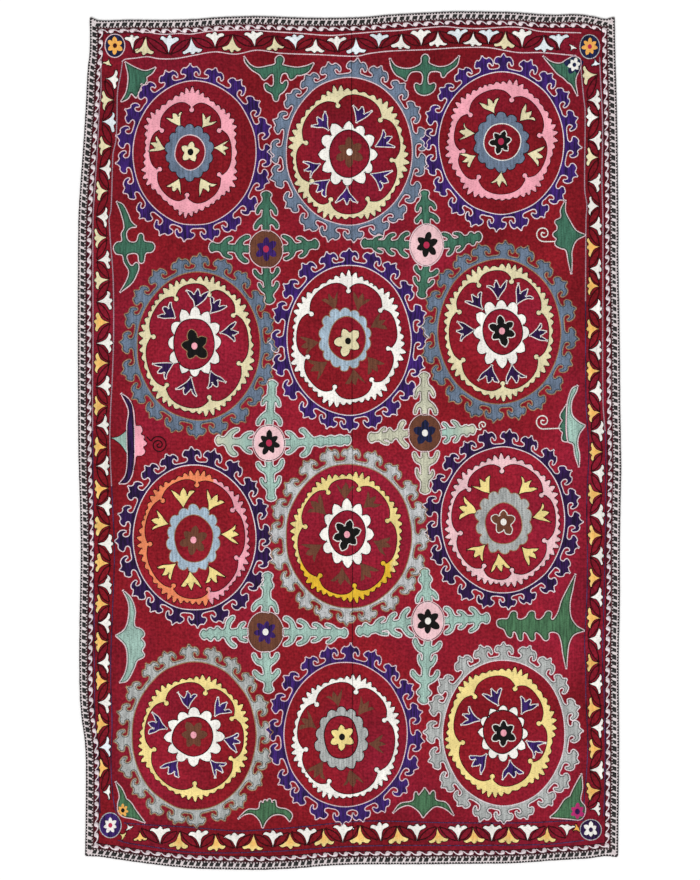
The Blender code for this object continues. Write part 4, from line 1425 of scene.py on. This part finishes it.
def cotton(name, hex_colour, other_hex):
    """Hand-spun plain weave, dyed crimson: dull, with uneven threads and patches of dye."""
    made, tree, shader = new_material(name)
    where = add(tree, "ShaderNodeTexCoord").outputs["Object"]
    threads = []
    for scale in ((1 / THREAD_WIDE, 1 / WARP_LONG, 1), (1 / WEFT_LONG, 1 / THREAD_WIDE, 1)):
        stretched = add(tree, "ShaderNodeMapping", {"Vector": where, "Scale": scale})
        threads.append(add(tree, "ShaderNodeTexNoise", {
            "Vector": stretched.outputs[0], "Scale": 1.0, "Detail": 3.0}))
    warp, weft = threads
    uptake, grain, bath = (
        add(tree, "ShaderNodeTexNoise", {"Vector": where, "Scale": 1 / patch, "Detail": detail})
        for patch, detail in ((UPTAKE_PATCH, 4.0), (GRAIN_PATCH, 3.0), (BATH_PATCH, 2.0)))
    mixed = add(tree, "ShaderNodeMapRange", {"Value": bath.outputs["Fac"], 1: 0.42, 2: 0.62})
    base = add(tree, "ShaderNodeMix", {0: mixed.outputs[0], 6: linear(hex_colour), 7: linear(other_hex)},
               data_type="RGBA").outputs[2]
    # The ground_lightness attribute draws the red lighter in the middle and the lower half, and darker in
    # the border and at the top
    ground_lightness = add(tree, "ShaderNodeAttribute", attribute_name="ground_lightness")
    light = add(tree, "ShaderNodeMapRange", {"Value": ground_lightness.outputs["Fac"], 1: 0.0, 2: 1.0,
                                             3: 0.67, 4: 1.13}).outputs[0]
    for source, low, high in (
        (warp, 0.86, 1.12), (weft, 0.93, 1.07), (uptake, 0.80, 1.18), (grain, 0.64, 1.32),
    ):
        part = add(tree, "ShaderNodeMapRange", {
            "Value": source.outputs["Fac"], 1: 0.3, 2: 0.7, 3: low, 4: high}).outputs[0]
        light = add(tree, "ShaderNodeMath", {0: light, 1: part}, operation="MULTIPLY").outputs[0]
    value = add(tree, "ShaderNodeVectorMath", {0: base, "Scale": light}, operation="SCALE")
    tree.links.new(value.outputs[0], shader.inputs["Base Color"])
    bands = []
    for direction in ("X", "Y"):
        bands.append(add(tree, "ShaderNodeTexWave", {
            "Vector": where, "Scale": bands_every(WEAVE_MM), "Distortion": 2.0, "Detail": 1.0,
            "Detail Scale": 2.0}, bands_direction=direction).outputs["Fac"])
    weave = add(tree, "ShaderNodeMath", {0: bands[0], 1: bands[1]}, operation="MULTIPLY")
    bump = add(tree, "ShaderNodeBump", {"Height": weave.outputs[0], "Strength": 0.45,
                                        "Distance": 0.0005})
    tree.links.new(bump.outputs[0], shader.inputs["Normal"])
    shader.inputs["Roughness"].default_value = 0.9
    shader.inputs["Specular IOR Level"].default_value = 0.08
    return made


red_cotton = cotton("hand_woven_cotton_crimson", "#821822", "#8a1b2f")
print("nodes in the cotton", len(red_cotton.node_tree.nodes))

# %% The two panels
CELL = 0.012
BY_THE_SEAM = np.array([0.0085, 0.0055, 0.0030, 0.0012, 0.0])  # shares of a panel's width
THINNEST = 0.0004  # metres
# The red is drawn a little lighter in the middle and the lower half, and darker in the border and at the
# top
BAND_DARK_TO = 0.10  # metres in from the edge
DARK_BAND_BLENDS_OVER = 0.06  # metres
LIGHTEST_AT, LIGHTER_REACH = 0.62, 0.55  # shares of the length, from the top


def panel(name, on_left):
    """One loom width, from the textile's edge to the seam, with how light its red is drawn at each point.
    """
    even = np.linspace(0, 1, round(WIDTH / 2 / CELL) + 1)
    steps = np.unique(np.round(np.concatenate([even[:-1], 1 - BY_THE_SEAM]), 6))
    first = TAPE_OVERHANG / LENGTH
    rows = round(LENGTH / CELL) + 1
    down = np.linspace(first, 1 - first, rows)[:, None] * np.ones(len(steps))
    edge_x = np.interp(down, SHARES, LEFT_X) if on_left else np.interp(down, SHARES, RIGHT_X)
    seam = SEAM_TOP_X + (SEAM_BOTTOM_X - SEAM_TOP_X) * down
    inward = 1 if on_left else -1
    start = edge_x + inward * TAPE_OVERHANG
    x = start + (seam - inward * GAP / 2 - start) * steps
    if not on_left:
        x, down = x[:, ::-1], down[:, ::-1]
    left, right = np.interp(down, SHARES, LEFT_X), np.interp(down, SHARES, RIGHT_X)
    across = (x - left) / (right - left)
    top_y, bottom_y = np.interp(across, SHARES, TOP_Y), np.interp(across, SHARES, BOTTOM_Y)
    y = top_y + (bottom_y - top_y) * down
    top = cloth_top(x, y)
    under = np.maximum(np.minimum(lift(x, y), top - THINNEST), 0.0)
    piece = closed_sheet(name, x, y, top, under, red_cotton)
    from_edge = np.minimum(np.minimum(across, 1 - across) * WIDTH, np.minimum(down, 1 - down) * LENGTH)
    inside = np.clip((from_edge - BAND_DARK_TO) / DARK_BAND_BLENDS_OVER, 0, 1)
    lower = np.clip(1 - ((down - LIGHTEST_AT) / LIGHTER_REACH) ** 2, 0, 1)
    ground_lightness = ((0.35 + 0.65 * lower) * (0.5 + 0.5 * inside)).ravel()
    attribute = piece.data.attributes.new("ground_lightness", "FLOAT", "POINT")
    attribute.data.foreach_set("value", np.concatenate([ground_lightness, ground_lightness]))
    return piece


cloth_left = panel("cloth_left", True)
cloth_right = panel("cloth_right", False)
print("cloth faces", len(cloth_left.data.polygons), len(cloth_right.data.polygons))

# %% [markdown]
# ## The edging tape
# The tape is a firm band woven on a small frame in black, white and dark red. It is a closed strip
# with a rounded edge, mitred at the corners, and its woven figure is real relief: slanting black
# floats, a dark comb along the outside and a dark red one along the inside, each set along the edge
# by a Geometry Nodes tree.

# %% Tape strips
SOIL_PATCH = 0.012  # metres
RIB_MM = 18.8496  # along an axis; real ribs are about 1.5 mm, drawn this coarse so that they show


def woven_tape(name):
    """Firm ribbed cotton: a dull off-white, a little soiled, with slanting ribs."""
    made, tree, shader = new_material(name)
    where = add(tree, "ShaderNodeTexCoord").outputs["Object"]
    soil = add(tree, "ShaderNodeTexNoise", {"Vector": where, "Scale": 1 / SOIL_PATCH, "Detail": 3.0})
    tint = add(tree, "ShaderNodeMix", {
        0: soil.outputs["Fac"], 6: linear("#e9e2e0"), 7: linear("#c9b8bc")}, data_type="RGBA")
    tree.links.new(tint.outputs[2], shader.inputs["Base Color"])
    ribs = add(tree, "ShaderNodeTexWave", {
        "Vector": where, "Scale": bands_every(RIB_MM, 10), "Distortion": 1.0},
        bands_direction="DIAGONAL")
    bump = add(tree, "ShaderNodeBump", {"Height": ribs.outputs["Fac"], "Strength": 0.5,
                                        "Distance": 0.0004})
    tree.links.new(bump.outputs[0], shader.inputs["Normal"])
    shader.inputs["Roughness"].default_value = 0.85
    return made


tape_white = woven_tape("woven_cotton_tape_white")
TAPE_BASE = CLOTH_THICK + GAP
# Metres in from the edge, and the share of the tape's thickness there
TAPE_PROFILE = [(0.0, 0.35), (0.0010, 0.8), (0.0030, 1.0), (0.0110, 1.0), (0.0190, 1.0), (0.0210, 0.8),
                (0.0220, 0.4)]
TAPE_POINT_EVERY = 0.015
# Whether the side runs down the cloth, and whether it is the far one
SIDES = {"top": (False, False), "bottom": (False, True), "left": (True, False), "right": (True, True)}


def beside_edge(side, inward, shy=0.0):
    """Points along a side at a distance in from the outline, from mitre to mitre, or shy of them."""
    upright, far = SIDES[side]
    run, span = (LENGTH, WIDTH) if upright else (WIDTH, LENGTH)
    first = inward + GAP + shy
    along = (first + np.linspace(0, 1, round(run / TAPE_POINT_EVERY) + 1) * (run - 2 * first)) / run
    aside = np.full_like(along, 1 - inward / span if far else inward / span)
    return place(aside, along) if upright else place(along, aside)


tapes = {}
for side in SIDES:
    grid = [beside_edge(side, inward) for inward, _ in TAPE_PROFILE]
    x, y = np.array([g[0] for g in grid]), np.array([g[1] for g in grid])
    rise = np.array([share for _, share in TAPE_PROFILE])[:, None] * np.ones(x.shape[1])
    top = TAPE_BASE + TAPE_THICK * rise
    bottom = np.full_like(top, TAPE_BASE)
    if side == "bottom":
        x, y, top = x[::-1], y[::-1], top[::-1]
    if side in ("left", "right"):
        x, y, top, bottom = x.T, y.T, top.T, bottom.T
    if side == "right":
        x, y, top = x[:, ::-1], y[:, ::-1], top[:, ::-1]
    tapes[side] = closed_sheet("tape_woven_" + side, x, y, top, bottom, tape_white)
print("tape faces", [len(piece.data.polygons) for piece in tapes.values()])

# %% The tape's woven figure
FIGURE_SUNK, FIGURE_HIGH = 0.0002, 0.00045  # metres below and above what it lies on


def figure(points, height):
    """A tree part that draws a small raised shape from its outline, in millimetres."""

    def build(tree, start):
        outline = bpy.data.meshes.new("figure")
        flat = [(x / 1000, y / 1000) for x, y in points]
        count = len(flat)
        verts = [(x, y, height) for x, y in flat] + [(x, y, -FIGURE_SUNK) for x, y in flat]
        faces = [tuple(range(count)), tuple(reversed(range(count, 2 * count)))]
        faces += [(i, count + i, count + (i + 1) % count, (i + 1) % count) for i in range(count)]
        outline.from_pydata(verts, [], faces)
        holder = bpy.data.objects.new("figure", outline)
        info = add(tree, "GeometryNodeObjectInfo", {"Object": holder})
        return info.outputs["Geometry"]

    return build


def plain_thread(name, hex_colour):
    """Cotton yarn in one dye: dull, with the light and shade of its twist."""
    made, tree, shader = new_material(name)
    where = add(tree, "ShaderNodeTexCoord").outputs["Object"]
    twist = add(tree, "ShaderNodeTexNoise", {"Vector": where, "Scale": 1 / THREAD_WIDE, "Detail": 2.0})
    light = add(tree, "ShaderNodeMapRange", {"Value": twist.outputs["Fac"], 1: 0.3, 2: 0.7,
                                             3: 0.8, 4: 1.2})
    value = add(tree, "ShaderNodeVectorMath", {0: linear(hex_colour)[:3], "Scale": light.outputs[0]},
                operation="SCALE")
    tree.links.new(value.outputs[0], shader.inputs["Base Color"])
    bump = add(tree, "ShaderNodeBump", {"Height": twist.outputs["Fac"], "Strength": 0.4,
                                        "Distance": 0.0004})
    tree.links.new(bump.outputs[0], shader.inputs["Normal"])
    shader.inputs["Roughness"].default_value = 0.7
    return made


# Millimetres: along the tape, then towards the cloth's middle
LONG_FLOAT = [(-18.6, -4.9), (-4.8, -4.9), (-1.2, 4.9), (-15.0, 4.9)]
SHORT_FLOAT = [(0.6, -4.9), (11.2, -4.9), (14.8, 4.9), (4.2, 4.9)]
EDGE_COMB = [(-4.0, 2.7), (-4.0, 1.1), (-2.7, 1.1), (-2.4, -2.4), (2.4, -2.4), (2.7, 1.1),
             (4.0, 1.1), (4.0, 2.7)]
RED_COMB = [(-4.0, -2.8), (4.0, -2.8), (4.0, -1.2), (2.7, -1.2), (2.4, 2.2), (-2.7, 2.2),
            (-2.4, -1.2), (-4.0, -1.2)]
# Name, outline, step along the tape, distance in from the edge, how far it stays off the mitre, dye
FIGURES = [
    ("tape_long_floats", LONG_FLOAT, 0.0360, 0.0118, 0.022, "#0d0a09"),
    ("tape_short_floats", SHORT_FLOAT, 0.0360, 0.0118, 0.022, "#0d0a09"),
    ("tape_edge_comb", EDGE_COMB, 0.0080, 0.0022, 0.003, "#151011"),
    ("tape_red_comb", RED_COMB, 0.0080, 0.0192, 0.003, "#330b14"),
]
tape_figures = []
for name, points, step, inward, shy, hex_colour in FIGURES:
    tree = row_tree(name, figure(points, FIGURE_HIGH), COMMON)
    paths = []
    for side in SIDES:
        x, y = beside_edge(side, inward, shy)
        spots = list(zip(x, y))
        if side in ("bottom", "left"):
            spots.reverse()
        paths.append((spots, False))
    yarn = plain_thread(name + "_yarn", hex_colour)
    piece = rows_mesh(name, tree, paths, {"Step": step, "Seed": 3, "Material": yarn})
    laid_on(piece, lambda x, y: np.full_like(x, TAPE_BASE + TAPE_THICK), 0.0)
    tape_figures.append(piece)
    print(name, len(piece.data.polygons))

# %% [markdown]
# ## The running scroll
# Inside the tape runs a line of small commas in pale silk: a round blob, and a thin tail that dips
# under the next one.

# %% Scroll of commas
COMMA = [
    (-6.4, 0.4), (-5.4, -3.6), (-1.0, -5.9), (3.6, -5.1), (6.2, -1.6), (6.4, 1.4), (10.0, 2.2),
    (14.5, 0.4), (18.5, -2.8), (22.6, -5.0), (23.6, -3.2), (19.4, -0.4), (15.2, 3.0), (10.0, 5.2),
    (3.0, 6.1), (-3.8, 4.8),
]
COMMA_HIGH, COMMA_EVERY = 0.0007, 0.0285
scroll_tree = row_tree("running_scroll", figure(COMMA, COMMA_HIGH), COMMON)
# How far in from the edge it runs, in metres
SCROLL_INWARD = {"left": 0.0302, "right": 0.0300, "top": 0.0298, "bottom": 0.0302}
paths, shade_paths = [], []
for side in SIDES:
    x, y = beside_edge(side, SCROLL_INWARD[side])
    spots = list(zip(x, y))
    if side == "bottom":
        spots.reverse()
    paths.append((spots, False))
    for inward in (STRIP_OUTER + 0.0006, STRIP_INNER):
        shade_paths.append((list(zip(*beside_edge(side, inward))), False))
scroll = rows_mesh("running_scroll", scroll_tree, paths,
                   {"Step": COMMA_EVERY, "Seed": 5, "Material": silks["pearl"]})
laid_on(scroll, cloth_top, 0.0005)
# The dark rows along both edges of the dark strip are partly dark outline thread and partly painted shade
# beside the raised tape and the scroll
scroll_outline = rows_mesh("scroll_outline", chain_stitch, shade_paths,
                           {**STITCH_KINDS["fine"], "Seed": 9, "Material": silks["soot"]})
laid_on(scroll_outline, cloth_top, 0.0001)
print("scroll", len(scroll.data.polygons), len(scroll_outline.data.polygons))

# %% [markdown]
# ## Seam stitches
# The two loom widths are whipped together edge to edge, and the join shows as one fine dark line down
# the middle, through the rosettes too. Its row of dark stitches stands partly for the whipping thread
# and partly for painted shade in the narrow gap between the two edges.

# %% Seam: dark thread and painted shade
SEAM_FROM_TOP, SEAM_FROM_BOTTOM, SEAM_POINTS = 0.034, 0.036, 240
y = np.linspace(LENGTH / 2 - SEAM_FROM_TOP, -LENGTH / 2 + SEAM_FROM_BOTTOM, SEAM_POINTS)
seam_dark_row = rows_mesh("seam_whipping", chain_stitch, [(list(zip(seam_x(y), y)), False)],
                 {"Step": 0.0046, "Link half width": 0.0011, "Link half length": 0.0032,
                  "Link height": 0.0008, "Seed": 11, "Material": silks["soot"]})
laid_on(seam_dark_row, cloth_top, 0.0007)
print("seam stitches' faces", len(seam_dark_row.data.polygons))

# %% [markdown]
# ## Telling the frame what everything is
# The textile is one body, so every piece rides on it. The finer cloth and tapes stand for the solids
# of the same place, which are hidden.

# %% Ride and replace
for piece, dye in embroidery.values():
    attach(piece, "root")
for piece in tape_figures:
    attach(piece, "root")
for piece, slot_name in ((scroll, "silk_white"), (scroll_outline, "silk_black"), (seam_dark_row, "silk_black")):
    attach(piece, "root")

for piece, node in ((cloth_left, "ground_left"), (cloth_right, "ground_right")):
    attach(piece, "root")
    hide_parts(node)
for side, piece in tapes.items():
    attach(piece, "root")
    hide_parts("tape_" + side)

# %% [markdown]
# ## Studio
# A pale floor, an even soft sky and one broad soft light from above, so that the colours read true
# and the relief still shows. The camera looks straight down from about 6.8 m through a long lens,
# as a copy stand does.

# %% Floor
FLOOR_HALF, FLOOR_Z = 9.0, -0.0005
floor_mesh = bpy.data.meshes.new("floor")
corners = [(-1, -1), (1, -1), (1, 1), (-1, 1)]
floor_mesh.from_pydata([(x * FLOOR_HALF, y * FLOOR_HALF, FLOOR_Z) for x, y in corners], [],
                       [(0, 1, 2, 3)])
floor = in_scene("floor", floor_mesh)
# Matt white paper: no gloss, so that the cloth's edge reads clearly
paper, _, paper_shader = new_material("matt_paper_floor")
paper_shader.inputs["Base Color"].default_value = linear("#ffffff")
paper_shader.inputs["Roughness"].default_value = 0.95
floor_mesh.materials.append(paper)
print("floor", 2 * FLOOR_HALF, "m wide")

# %% Light and camera
world = bpy.data.worlds.new("studio")
bpy.context.scene.world = world
world.use_nodes = True
world.node_tree.nodes["Background"].inputs["Color"].default_value = (1.0, 1.0, 1.0, 1.0)
world.node_tree.nodes["Background"].inputs["Strength"].default_value = 0.68
key = bpy.data.lights.new("key", "SUN")
key.energy = 1.55
key.angle = math.radians(14)
in_scene("key", key).rotation_euler = (math.radians(38), math.radians(-22), 0)
bpy.context.scene.view_settings.view_transform = "Standard"

camera = bpy.data.cameras.new("camera")
camera.lens, camera.sensor_width = 100, 36
PICTURE_TALL, PICTURE_MIDDLE = 880, (350, 440)
FACE_HEIGHT = 0.003  # metres: about how high the cloth's face is
middle = to_cloth([PICTURE_MIDDLE])[0]
distance = camera.lens / camera.sensor_width * PICTURE_TALL * UNIT
camera_object = in_scene("camera", camera)
camera_object.location = (middle[0], middle[1], distance + FACE_HEIGHT)
bpy.context.scene.camera = camera_object
print("camera height", round(distance, 3))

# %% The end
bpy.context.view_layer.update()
